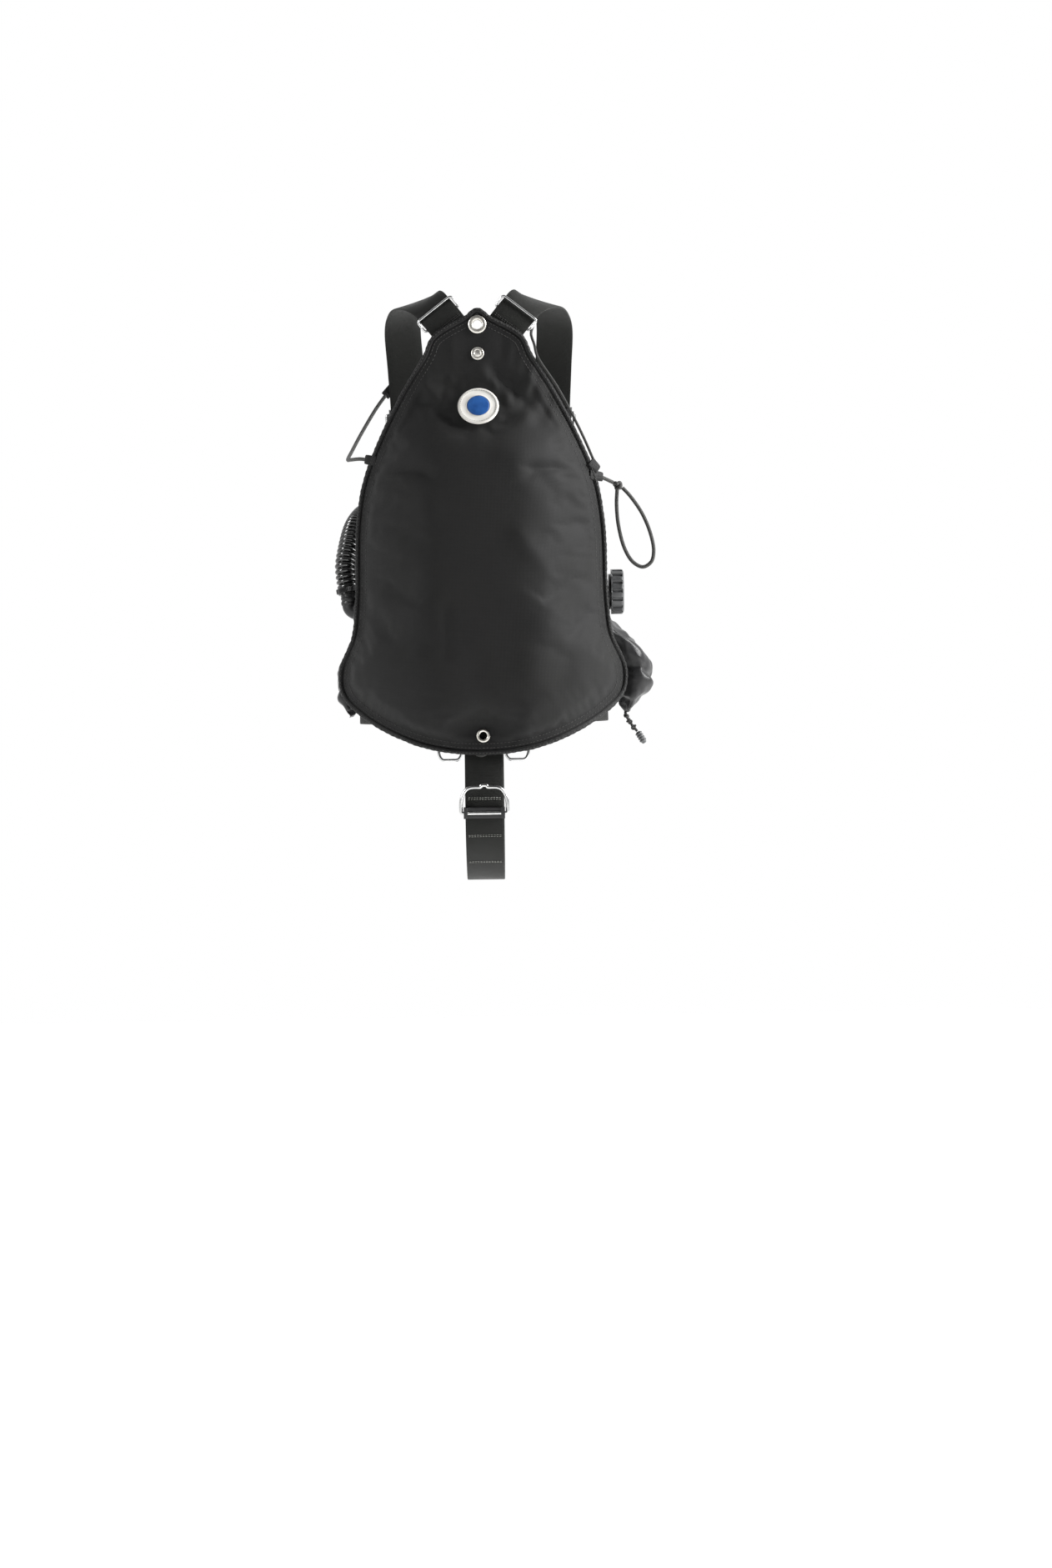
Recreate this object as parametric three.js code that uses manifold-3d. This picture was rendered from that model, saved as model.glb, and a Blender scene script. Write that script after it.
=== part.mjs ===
// Sidemount buoyancy compensator: a teardrop wing worn on the back, on a webbing harness.
// Millimetres, +Z up. The wearer faces +Y, so the wing bulges towards -Y and +X is the
// wearer's right. The origin is the centre of the lumbar plate's wearer-side face.

import * as THREE from 'three';
import { mergeVertices } from 'three/addons/utils/BufferGeometryUtils.js';
import Module from 'manifold-3d';

const wasm = await Module();
wasm.setup();

// ---------------------------------------------------------------- driving dimensions

const GAP = 0.4; // clearance between pieces that touch
const RUN = 0.1; // running clearance round a pin or button
const SLOT_GAP = 1; // above and below a strap in a keeper, which lets it curve

// Webbing
const WEB = 50; // width of every strap
const WEB_T = 2.4; // thickness of every strap

// Wing
const WING_TOP = 511; // height of the wing's top edge above the belt line
const WING_BOTTOM = -65; // height of its bottom edge
const WING_MIDDLE = 180; // height of its fullest part
const WING_HALF = 163; // half width at the ribs
const CORNER_HALF = 187; // half width at the waist corners
const WING_FRONT = -16; // y of the wing's wearer-side face on the centre line
const CLOTH_T = 1.4; // shell fabric thickness
const DOME = 46; // how far the back panel bulges
const FLAT_HALF = 50; // half width that stays flat across the spine
const WRAP = 0.0049; // how fast the wing curls round the ribs outside that, per mm
const BINDING_W = 5; // edge binding, across the edge
const BINDING_T = 5.6; // edge binding, through the thickness

// Plates and screws
const PLATE_T = 3;
const LUMBAR_W = 124;
const LUMBAR_H = 110;
const SHOULDER_W = 74;
const SHOULDER_H = 66;
const SCREW_Z = WING_TOP - 55; // height of the top book screw
const SHOULDER_Z = SCREW_Z - 8; // height of the shoulder plate's centre
const SPINE_SCREW_Z = 24; // heights of the lumbar plate's book screws
const CROTCH_SCREW_Z = -24;
const SCREW_R = 4; // barrel radius
const SCREW_HEAD_R = 8.5;
const PLATE_HEAD_R = 7; // heads of the lumbar plate's screws
const HEAD_T = 1.6; // thickness of a screw's head
const SLOT_W = 14; // belt slot across the plate
const SLOT_X = 42; // belt slot centre from the middle

// Grommets
const TOP_GROMMET_Z = WING_TOP - 17;
const TOP_GROMMET_R = 12;
const TOP_GROMMET_HOLE = 6;
const LOW_GROMMET_Z = -45;
const LOW_GROMMET_R = 9;
const LOW_GROMMET_HOLE = 5;

// Badge
const BADGE_Z = WING_TOP - 126;
const BADGE_R = 27;

// Wire fittings
const WIRE_R = 1.7; // strap ladders
const RING_WIRE_R = 2.5; // D-rings
const KEEPER_W = WEB + 4; // keeper length across the strap
const KEEPER_H = 14; // keeper length along the strap
const KEEPER_WALL = 1.6;
const RING_HALF = KEEPER_W / 2 + 3.5; // half width of a D-ring between its wire centres
const RING_DROP = 34; // from a D-ring's bar to its far side
const BUTT_X = WEB / 2 + 19; // the lumbar plate's rings, from the middle
const BUTT_WIRE_R = 2;

// Front of the harness
const FRONT_FLAT = 226; // y of the belt across the belly
const CHEST_Y = 232; // y of the shoulder straps on the chest
const CHEST_RING_Z = SCREW_Z - 56;
const STRAP_FOOT_Z = WEB / 2 + 9; // where the shoulder straps meet the belt

// Cords
const BUNGEE_R = 2.5;
const THIN_CORD_R = 1.8;

// Hose and valves
const HOSE_R = 15;
const VALVE_X = WING_HALF + 6.4; // the face that the valve is clamped to
const VALVE_Y = 92;
const VALVE_Z = 147;
const ELBOW_X = -(WING_HALF + 1); // the face that the elbow is clamped to
const ELBOW_Z = 126;
const BARREL_R = 20; // valve barrel
const SEAT_H = 8; // valve barrel's height
const CAP_R = 30;
const CAP_H = 17;
const CAP_FOOT = 3.2; // height of the cap's rim above the clamped face
const CAP_TOP_T = 3.2; // thickness of the cap's top

// Inflator
const INFLATOR_R = 14;
const INFLATOR_L = 74;
const INFLATE_R = 6;
const DEFLATE_R = 7;
const INFLATE_H = 24; // height of the inflate button along the body
const MOUTH_H = 49; // height of the mouthpiece along the body
const BOSS_OUT = 19; // reach of the side bosses from the body's axis
const SPRING_WIRE_R = 0.5;

// Buckle
const BUCKLE_X = -(WEB / 2 + 33);
const BUCKLE_L = 64;
const PIN_R = 2;

// ---------------------------------------------------------------- materials

const finish = (color, roughness, metalness) =>
  new THREE.MeshStandardMaterial({ color, roughness, metalness });
const SHELL = finish('#2a2a2b', 0.75, 0);
const WEBBING = finish('#171916', 0.8, 0);
const STEEL = finish('#c9cacb', 0.22, 1);
const RUBBER = finish('#1a1a1a', 0.6, 0);
const PLASTIC = finish('#1d1d1e', 0.45, 0);
const CORD = finish('#202020', 0.7, 0);
const WHITE_RUBBER = finish('#dcdad8', 0.5, 0);
const BLUE_RUBBER = finish('#1d4f8f', 0.45, 0);
const BLADDER = finish('#3a3f46', 0.5, 0);

// ---------------------------------------------------------------- building helpers

const part = new THREE.Group();
const vec = (x, y, z) => new THREE.Vector3(x, y, z);
const SIDES = { left: -1, right: 1 };

function add(name, geometry, material) {
  const mesh = new THREE.Mesh(geometry, material);
  mesh.name = name;
  part.add(mesh);
  return mesh;
}

// What a moving piece turns about or slides along, in millimetres, kept with its mesh.
function setHinge(mesh, point, axis) {
  mesh.userData.hinge = { point: point.toArray(), axis: axis.toArray() };
}

function setSlide(mesh, axis) {
  mesh.userData.slide = { axis: axis.toArray() };
}

// A closed body swept through rings of points: joined end to end, or capped at both ends.
function skin(rings, closed = false) {
  const count = rings[0].length;
  const positions = rings.flat().flatMap((p) => [p.x, p.y, p.z]);
  const faces = [];
  const bands = closed ? rings.length : rings.length - 1;
  for (let i = 0; i < bands; i += 1) {
    const a = i * count;
    const b = ((i + 1) % rings.length) * count;
    for (let j = 0; j < count; j += 1) {
      const k = (j + 1) % count;
      faces.push(a + j, a + k, b + k, a + j, b + k, b + j);
    }
  }
  if (!closed) {
    const last = (rings.length - 1) * count;
    for (let j = 1; j < count - 1; j += 1) {
      faces.push(0, j + 1, j, last, last + j, last + j + 1);
    }
  }
  const geometry = new THREE.BufferGeometry();
  geometry.setAttribute('position', new THREE.Float32BufferAttribute(positions, 3));
  geometry.setIndex(faces);
  return facingOut(geometry);
}

// Turns a closed geometry's faces outwards.
function facingOut(geometry) {
  const position = geometry.attributes.position;
  const index = geometry.index;
  const [a, b, c] = [vec(), vec(), vec()];
  let volume = 0;
  for (let i = 0; i < index.count; i += 3) {
    a.fromBufferAttribute(position, index.getX(i));
    b.fromBufferAttribute(position, index.getX(i + 1));
    c.fromBufferAttribute(position, index.getX(i + 2));
    volume += a.dot(b.cross(c));
  }
  if (volume < 0) {
    for (let i = 0; i < index.count; i += 3) {
      const first = index.getX(i);
      index.setX(i, index.getX(i + 1));
      index.setX(i + 1, first);
    }
  }
  return geometry;
}

function toManifold(geometry) {
  const clean = geometry.clone();
  clean.deleteAttribute('normal');
  clean.deleteAttribute('uv');
  const merged = mergeVertices(clean, 1e-4);
  return new wasm.Manifold(
    new wasm.Mesh({
      numProp: 3,
      vertProperties: new Float32Array(merged.attributes.position.array),
      triVerts: new Uint32Array(merged.index.array),
    }),
  );
}

function toGeometry(manifold) {
  const mesh = manifold.getMesh();
  const geometry = new THREE.BufferGeometry();
  geometry.setAttribute('position', new THREE.BufferAttribute(mesh.vertProperties, 3));
  geometry.setIndex(new THREE.BufferAttribute(mesh.triVerts, 1));
  return geometry;
}

function cut(base, ...tools) {
  return toGeometry(tools.reduce((left, tool) => left.subtract(toManifold(tool)), toManifold(base)));
}

function join(base, ...others) {
  return toGeometry(others.reduce((sum, other) => sum.add(toManifold(other)), toManifold(base)));
}

// A frame whose X, Y and Z axes are the three directions, at a point.
function frameAt(point, across, along, out) {
  return new THREE.Matrix4().makeBasis(across, along, out).setPosition(point);
}

function box(width, depth, height, x = 0, y = 0, z = 0) {
  return new THREE.BoxGeometry(width, depth, height).translate(x, y, z);
}

// A cylinder along an axis ('x', 'y' or 'z') centred on a point.
function rod(axis, radius, length, x = 0, y = 0, z = 0, sides = 14) {
  const cylinder = new THREE.CylinderGeometry(radius, radius, length, sides);
  if (axis === 'x') cylinder.rotateZ(-Math.PI / 2);
  if (axis === 'z') cylinder.rotateX(Math.PI / 2);
  return cylinder.translate(x, y, z);
}

// A turned body from [radius, height] corners, about +Z.
function turned(corners, sides = 16) {
  const profile = corners.map(([radius, height]) => new THREE.Vector2(radius, height));
  return facingOut(mergedLathe(new THREE.LatheGeometry(profile, sides)).rotateX(Math.PI / 2));
}

function mergedLathe(lathe) {
  lathe.deleteAttribute('normal');
  lathe.deleteAttribute('uv');
  const merged = mergeVertices(lathe, 1e-4);
  const kept = [];
  for (let i = 0; i < merged.index.count; i += 3) {
    const [a, b, c] = [0, 1, 2].map((k) => merged.index.getX(i + k));
    if (a !== b && b !== c && a !== c) kept.push(a, b, c);
  }
  merged.setIndex(kept);
  return merged;
}

// A round cord or tube through points.
function cordTube(points, radius, steps, sides = 8) {
  const route = new THREE.CatmullRomCurve3(points.map((p) => vec(...p)));
  const shape = new THREE.Shape();
  for (let i = 0; i < sides; i += 1) {
    const angle = (i / sides) * 2 * Math.PI;
    const method = i === 0 ? 'moveTo' : 'lineTo';
    shape[method](radius * Math.cos(angle), radius * Math.sin(angle));
  }
  shape.closePath();
  return new THREE.ExtrudeGeometry(shape, { steps, extrudePath: route, bevelEnabled: false });
}

// A closed ring of round wire in the XY plane of a frame, through flat corner points.
function wireLoop(corners, radius, frame, steps = 28, sides = 8, tension = 0.5) {
  const route = new THREE.CatmullRomCurve3(
    corners.map(([x, y]) => vec(x, y, 0)),
    true,
    'catmullrom',
    tension,
  );
  const rings = [];
  for (let i = 0; i < steps; i += 1) {
    const point = route.getPoint(i / steps);
    const tangent = route.getTangent(i / steps);
    const inward = vec(-tangent.y, tangent.x, 0);
    const ring = [];
    for (let j = 0; j < sides; j += 1) {
      const angle = (j / sides) * 2 * Math.PI;
      ring.push(
        point
          .clone()
          .addScaledVector(inward, radius * Math.cos(angle))
          .add(vec(0, 0, radius * Math.sin(angle)))
          .applyMatrix4(frame),
      );
    }
    rings.push(ring);
  }
  return skin(rings, true);
}

// ---------------------------------------------------------------- webbing

// A strap's centre line: rows of [x, y, z, outward x, outward y, outward z].
function strapRoute(rows) {
  const place = new THREE.CatmullRomCurve3(
    rows.map((row) => vec(row[0], row[1], row[2])),
    false,
    'centripetal',
  );
  const facing = new THREE.CatmullRomCurve3(rows.map((row) => vec(row[3], row[4], row[5])));
  return (share) => {
    const point = place.getPoint(share);
    const along = place.getTangent(share).normalize();
    const out = facing.getPoint(share);
    out.addScaledVector(along, -out.dot(along)).normalize();
    const across = along.clone().cross(out).normalize();
    return { point, along, out, across, matrix: frameAt(point, across, along, out) };
  };
}

// A length of webbing along a route, between two shares of it.
function strap(route, steps, from = 0, to = 1) {
  const rings = [];
  for (let i = 0; i <= steps; i += 1) {
    const { point, across, out } = route(from + ((to - from) * i) / steps);
    const corner = (u, v) =>
      point
        .clone()
        .addScaledVector(across, (u * WEB) / 2)
        .addScaledVector(out, (v * WEB_T) / 2);
    rings.push([corner(-1, -1), corner(1, -1), corner(1, 1), corner(-1, 1)]);
  }
  return skin(rings);
}

// The share of a route whose point is nearest to a target, for seating fittings.
function shareNear(route, target) {
  let best = { share: 0, distance: Infinity };
  for (let i = 0; i <= 400; i += 1) {
    const distance = route(i / 400).point.distanceTo(target);
    if (distance < best.distance) best = { share: i / 400, distance };
  }
  return best.share;
}

// ---------------------------------------------------------------- wing

const WING_CENTRE = vec(0, 0, WING_MIDDLE);

// One half of the outline, from the top edge to the bottom edge.
const HALF_OUTLINE = [
  [0, WING_TOP],
  [13, WING_TOP - 9],
  [56, WING_TOP - 35],
  [67, WING_TOP - 58],
  [95, WING_TOP - 103],
  [127, WING_TOP - 163],
  [150, WING_TOP - 218],
  [WING_HALF - 3, WING_TOP - 275],
  [WING_HALF, 140],
  [WING_HALF + 6, 88],
  [CORNER_HALF, 46],
  [CORNER_HALF - 3, 14],
  [CORNER_HALF - 27, -12],
  [CORNER_HALF - 68, -38],
  [66, WING_BOTTOM + 7],
  [0, WING_BOTTOM],
];

const wingCurve = new THREE.CatmullRomCurve3(
  [
    ...HALF_OUTLINE.map(([x, z]) => vec(x, 0, z)),
    ...HALF_OUTLINE.slice(1, -1)
      .reverse()
      .map(([x, z]) => vec(-x, 0, z)),
  ],
  true,
  'centripetal',
);

const WING_POINTS = 48;
const wingOutline = wingCurve.getPoints(WING_POINTS).slice(0, WING_POINTS);

// How far round the wearer's ribs the wing has curled at a distance from the spine.
const wrapAt = (x) => WRAP * Math.max(0, Math.abs(x) - FLAT_HALF) ** 2;
const smooth = (low, high, value) => THREE.MathUtils.smoothstep(value, low, high);

// How full the wing is: none at the edge, and none under the shoulder straps.
const fullness = (radial, z) =>
  Math.sqrt(Math.max(0, 1 - radial ** 2.6)) * (1 - smooth(WING_TOP - 200, WING_TOP - 86, z));

// A sheet or pad over the wing's outline, from its back y to its front y at each point.
function wingBody(outline, radials, backY, frontY) {
  const layer = (yOf) => {
    const rows = radials.map((radial) =>
      outline.map((edge) => {
        const x = edge.x * radial;
        const z = WING_CENTRE.z + (edge.z - WING_CENTRE.z) * radial;
        return vec(x, yOf(radial, z, x) + wrapAt(x), z);
      }),
    );
    return { hub: vec(0, yOf(0, WING_CENTRE.z, 0), WING_CENTRE.z), rows };
  };
  const back = layer(backY);
  const front = layer(frontY);
  const rings = [...back.rows, ...[...front.rows].reverse()];
  const count = outline.length;
  const positions = [...rings.flat(), back.hub, front.hub].flatMap((p) => [p.x, p.y, p.z]);
  const faces = [];
  for (let i = 0; i < rings.length - 1; i += 1) {
    // The same diagonal on both layers, so that panels one behind the other stay parallel.
    const backLayer = i < back.rows.length;
    for (let j = 0; j < count; j += 1) {
      const k = (j + 1) % count;
      const [a, b] = [i * count, (i + 1) * count];
      if (backLayer) faces.push(a + j, a + k, b + k, a + j, b + k, b + j);
      else faces.push(a + j, a + k, b + j, a + k, b + k, b + j);
    }
  }
  const last = (rings.length - 1) * count;
  const hub = rings.length * count;
  for (let j = 0; j < count; j += 1) {
    const k = (j + 1) % count;
    faces.push(hub, k, j, hub + 1, last + j, last + k);
  }
  const geometry = new THREE.BufferGeometry();
  geometry.setAttribute('position', new THREE.Float32BufferAttribute(positions, 3));
  geometry.setIndex(faces);
  return facingOut(geometry);
}

// The panels' rows, from the middle out. The badge sits on the flat stretch between two.
const rowAt = (z) => (z - WING_MIDDLE) / (WING_TOP - WING_MIDDLE);
const UNDER_BADGE = BADGE_Z - BADGE_R - 5.88;
const RADIALS = [0.28, rowAt(UNDER_BADGE), rowAt(WING_TOP - 82.75), 0.9, 1];
const INNER_BACK = WING_FRONT - CLOTH_T;
const OUTER_FRONT = INNER_BACK - GAP;
const OUTER_BACK = OUTER_FRONT - CLOTH_T;

function wingShell() {
  const eyelet = (z, hole) => rod('y', hole, 30, 0, WING_FRONT, z, 24);
  const holes = [
    eyelet(TOP_GROMMET_Z, TOP_GROMMET_HOLE + 1.6 + GAP),
    eyelet(LOW_GROMMET_Z, LOW_GROMMET_HOLE + 1.3 + GAP),
    eyelet(SCREW_Z, SCREW_R + GAP),
  ];
  const outer = wingBody(
    wingOutline,
    RADIALS,
    (r, z) => OUTER_BACK - DOME * fullness(r, z),
    (r, z) => OUTER_FRONT - DOME * fullness(r, z),
  );
  add('wing_outer_panel', cut(outer, ...holes), SHELL);
  const inner = wingBody(
    wingOutline,
    RADIALS,
    () => INNER_BACK,
    () => WING_FRONT,
  );
  add('wing_inner_panel', cut(inner, ...holes), SHELL);
}

// How far out a point of the wing lies, from 0 at the wing's centre to 1 on its outline.
function radialAt(x, z) {
  const dz = z - WING_CENTRE.z;
  for (let i = 0; i < WING_POINTS; i += 1) {
    const a = wingOutline[i];
    const b = wingOutline[(i + 1) % WING_POINTS];
    const [ax, az, bx, bz] = [a.x, a.z - WING_CENTRE.z, b.x, b.z - WING_CENTRE.z];
    const turn = ax * bz - az * bx;
    const nearB = (x * bz - dz * bx) / turn;
    const nearA = (ax * dz - az * x) / turn;
    if (nearA >= 0 && nearB >= 0) return nearA + nearB;
  }
  return 0;
}

// The bladder lies between the panels, inside the seam allowance and clear of the eyelets.
function airBladder() {
  const SEAM = 0.82; // its outline as a share of the wing's
  const TOP = BADGE_Z; // its top edge, behind the badge
  const SLACK = 0.6; // its thickness as a share of the space it has
  const outline = wingOutline
    .map((p) => vec(p.x * SEAM, 0, WING_CENTRE.z + (p.z - WING_CENTRE.z) * SEAM))
    .map((p) => vec(p.x, 0, Math.min(p.z, TOP)));
  const front = INNER_BACK - 4;
  const back = (r, x, z) =>
    front - 1.2 - SLACK * DOME * fullness(radialAt(x, z), z) * (0.4 + 0.6 * (1 - r ** 4));
  add(
    'air_bladder',
    wingBody(
      outline,
      [0.4, 0.7, 0.9, 1],
      (r, z, x) => back(r, x, z),
      () => front,
    ),
    BLADDER,
  );
}

// Binding tape round the whole edge, just outside the two panels.
function edgeBinding() {
  const middle = (WING_FRONT + OUTER_BACK) / 2;
  const rings = wingOutline.map((p, i) => {
    const before = wingOutline[(i + WING_POINTS - 1) % WING_POINTS];
    const after = wingOutline[(i + 1) % WING_POINTS];
    const along = after.clone().sub(before).normalize();
    const outward = vec(-along.z, 0, along.x);
    if (outward.dot(p.clone().sub(WING_CENTRE)) < 0) outward.negate();
    const at = (distance, side) => {
      const q = p.clone().addScaledVector(outward, distance);
      return vec(q.x, middle + (side * BINDING_T) / 2 + wrapAt(p.x), q.z);
    };
    const near = GAP + 0.6;
    return [at(near, -1), at(near + BINDING_W, -1), at(near + BINDING_W, 1), at(near, 1)];
  });
  add('edge_binding', skin(rings, true), WEBBING);
}

// A rolled eyelet through both panels: a flange on each face and a barrel between them.
function grommet(name, z, radius, hole, barrelWall) {
  const back = OUTER_BACK - GAP;
  const front = WING_FRONT + GAP;
  const flange = 1.2;
  const barrel = hole + barrelWall;
  const corners = [
    [hole, front + flange],
    [radius - 2, front + flange],
    [radius - 2, front],
    [barrel, front],
    [barrel, back],
    [radius, back],
    [radius - 0.8, back - flange],
    [hole + 0.8, back - flange - 0.6],
    [hole, back - flange],
    [hole, front + flange],
  ];
  const ring = turned(corners, 20).rotateX(-Math.PI / 2);
  add(name, ring.translate(0, 0, z), STEEL);
}

// ---------------------------------------------------------------- side lobes of the wing

// Each lobe's slices from the top down: [height, inner x, outer x, back y, front y], with
// each x measured from the wing's half width.
const LOBE_SLICES = {
  right: [
    [186, -13, -6, 86, 104],
    [165, -21, 0, 70, 118],
    [140, -24, 3, 62, 124],
    [120, -21, 5, 64, 128],
    [104, -13, 18, 66, 136],
    [80, -3, 43, 72, 148],
    [54, 9, 59, 78, 160],
    [28, 10, 66, 80, 166],
    [6, 12, 51, 84, 158],
    [-12, 17, 35, 96, 140],
  ],
  left: [
    [176, -17, -10, 86, 104],
    [155, -24, -5, 70, 118],
    [130, -26, -3, 62, 124],
    [108, -23, -1, 64, 128],
    [90, -13, 9, 66, 136],
    [70, -3, 20, 72, 148],
    [45, 9, 29, 80, 158],
    [18, 9, 33, 80, 162],
    [-4, 9, 24, 84, 154],
    [-18, 11, 18, 96, 140],
  ],
};

function lobe(side) {
  const SEGMENTS = 16;
  const rings = LOBE_SLICES[side].map(([z, inner, outer, back, front]) => {
    const across = WING_HALF + (inner + outer) / 2;
    const centre = vec(SIDES[side] * across, (back + front) / 2, z);
    const ring = [];
    for (let i = 0; i < SEGMENTS; i += 1) {
      const angle = (i / SEGMENTS) * 2 * Math.PI;
      const x = ((outer - inner) / 2) * Math.cos(angle);
      const y = ((front - back) / 2) * Math.sin(angle);
      ring.push(centre.clone().add(vec(x, y, 0)));
    }
    return ring;
  });
  add(`side_lobe_${side}`, skin(rings), SHELL);
}

// ---------------------------------------------------------------- plates and screws

function plates() {
  const lumbar = box(LUMBAR_W, PLATE_T, LUMBAR_H, 0, -PLATE_T / 2, 0);
  const beltSlot = (side) => box(SLOT_W, 3 * PLATE_T, WEB + 4, side * SLOT_X, -PLATE_T / 2, 0);
  const screwHole = (z) => rod('y', SCREW_R + GAP, 3 * PLATE_T, 0, -PLATE_T / 2, z);
  add(
    'lumbar_plate',
    cut(
      lumbar,
      beltSlot(-1),
      beltSlot(1),
      screwHole(SPINE_SCREW_Z),
      screwHole(CROTCH_SCREW_Z),
    ),
    STEEL,
  );
  const shoulder = box(SHOULDER_W, PLATE_T, SHOULDER_H, 0, -PLATE_T / 2, SHOULDER_Z);
  add('shoulder_plate', cut(shoulder, screwHole(SCREW_Z)), STEEL);
}

// A book screw: a barrel with a flat head on the wearer's side and a domed one behind.
function bookScrew(name, z, backY, headR) {
  const back = backY - GAP;
  const front = GAP;
  const corners = [
    [0, front + HEAD_T],
    [headR, front + HEAD_T],
    [headR, front],
    [SCREW_R, front],
    [SCREW_R, back],
    [headR, back],
    [headR - 1, back - HEAD_T],
    [headR * 0.56, back - HEAD_T - 0.3],
    [headR * 0.5, back - HEAD_T + 0.5],
    [0, back - HEAD_T + 0.5],
  ];
  add(name, turned(corners, 16).rotateX(-Math.PI / 2).translate(0, 0, z), STEEL);
}

// ---------------------------------------------------------------- harness straps

const LAYER = WEB_T + GAP;
const BACK = -PLATE_T - GAP - WEB_T / 2; // first strap layer behind a plate

// A height on the chest, as a share of the way from the belt to the chest ring.
const chestHeight = (share) => STRAP_FOOT_Z + (CHEST_RING_Z - STRAP_FOOT_Z) * share;

// Shoulder strap: from the shoulder plate, up through its ladder, over the shoulder,
// down the chest and round to the belt.
function shoulderRows(side) {
  const s = SIDES[side];
  const start = side === 'left' ? BACK - LAYER : BACK - 2 * LAYER;
  return [
    [-s * 6, start, SCREW_Z - 19, 0, -1, 0],
    [s * 20, start, SCREW_Z + 14, 0, -1, 0],
    [s * 34, start, SCREW_Z + 32, 0, -1, 0],
    [s * 47, BACK - 4, SCREW_Z + 48.6, s * 0.06, -1, 0.08],
    [s * 57, BACK, SCREW_Z + 60.5, s * 0.3, -1, 0.4],
    [s * 64, 3, SCREW_Z + 69, s * 0.5, -0.9, 0.75],
    [s * 74, 21, SCREW_Z + 73, s * 0.4, -0.4, 1],
    [s * 88, 55, SCREW_Z + 75, s * 0.3, -0.1, 1],
    [s * 98, 100, SCREW_Z + 71, s * 0.35, 0.2, 1],
    [s * 103, 150, SCREW_Z + 52, s * 0.3, 0.8, 1],
    [s * 101, CHEST_Y - 36, SCREW_Z + 6, s * 0.2, 1, 0.6],
    [s * 98, CHEST_Y - 10, CHEST_RING_Z, s * 0.1, 1, 0.2],
    [s * 97, CHEST_Y, chestHeight(0.81), s * 0.1, 1, 0],
    [s * 98, CHEST_Y - 2, chestHeight(0.53), s * 0.12, 1, 0],
    [s * 102, CHEST_Y - 8, chestHeight(0.26), s * 0.2, 1, 0],
    [s * 106, CHEST_Y - 12, STRAP_FOOT_Z, s * 0.3, 1, 0],
  ];
}

const shoulderRoute = {
  left: strapRoute(shoulderRows('left')),
  right: strapRoute(shoulderRows('right')),
};

const spineRoute = strapRoute([
  [0, BACK, SCREW_Z + 14, 0, -1, 0],
  [0, BACK, 300, 0, -1, 0],
  [0, BACK, 150, 0, -1, 0],
  [0, BACK, 8, 0, -1, 0],
]);

const CROTCH_ROWS = [
  [0, BACK, -6, 0, -1, 0],
  [0, BACK, -34, 0, -1, 0],
  [0, BACK - 0.8, -60, 0, -1, 0],
  [0, BACK - 7, -92, 0, -1, 0],
  [0, BACK - 16, -130, 0, -1, -0.05],
  [0, BACK - 8, -172, 0, -1, -0.45],
  [0, 22, -208, 0, -0.7, -1],
  [0, 70, -232, 0, -0.1, -1],
  [0, 122, -232, 0, 0.2, -1],
  [0, 168, -206, 0, 1, -1],
  [0, 200, -150, 0, 1, -0.35],
  [0, 216, -80, 0, 1, -0.1],
  [0, 219, -30, 0, 1, 0],
  [0, 219.5, STRAP_FOOT_Z - 10, 0, 1, 0],
  [0, 222, STRAP_FOOT_Z - 1, 0, 0.5, 1],
  [0, 228, STRAP_FOOT_Z, 0, -0.1, 1],
  [0, 231.5, STRAP_FOOT_Z - 8, 0, -1, 0.2],
  [0, 232, -30, 0, -1, 0],
  [0, 231, -48, 0, -1, 0],
];
const crotchRoute = strapRoute(CROTCH_ROWS);
const LOOP_SHARE = 12 / (CROTCH_ROWS.length - 1); // where the belt loop is sewn on
const LOOP_SEAM = 0.0006; // share of the route left between the strap and its loop

// The belt runs level round the waist, so each row's outward side follows from the plan.
function beltRoute(plan) {
  const curve = new THREE.CatmullRomCurve3(
    plan.map(([x, y]) => vec(x, y, 0)),
    false,
    'centripetal',
  );
  return (share) => {
    const point = curve.getPoint(share);
    const along = curve.getTangent(share).normalize();
    const out = along.clone().cross(vec(0, 0, 1)).normalize();
    if (out.dot(point.clone().sub(vec(0, 112, 0))) < 0) out.negate();
    const across = along.clone().cross(out).normalize();
    return { point, along, out, across, matrix: frameAt(point, across, along, out) };
  };
}

const beltStart = (s) => [
  [s * (WEB / 2 + 3), BACK],
  [s * (SLOT_X - 6), BACK + 0.2],
  [s * (SLOT_X + 5), 2.6],
  [s * (SLOT_X + 18), 5.2],
  [s * 100, 21],
  [s * (WING_HALF - 15), 62],
];
const rightBelt = beltRoute([
  ...beltStart(1),
  [WING_HALF + 3, 112],
  [WING_HALF - 13, 168],
  [112, 207],
  [60, 222],
  [20, FRONT_FLAT],
  [BUCKLE_X + 38, FRONT_FLAT + 0.6],
  [BUCKLE_X, FRONT_FLAT + 2],
  [BUCKLE_X - 38, FRONT_FLAT + 2],
  [BUCKLE_X - 58, FRONT_FLAT - 3],
]);
const leftBelt = beltRoute([
  ...beltStart(-1),
  [-(WING_HALF + 3), 112],
  [-(WING_HALF - 11), 164],
  [BUCKLE_X - 66, 203],
  [BUCKLE_X - 40, 218],
  [BUCKLE_X - 10, FRONT_FLAT - 4.4],
]);

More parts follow.
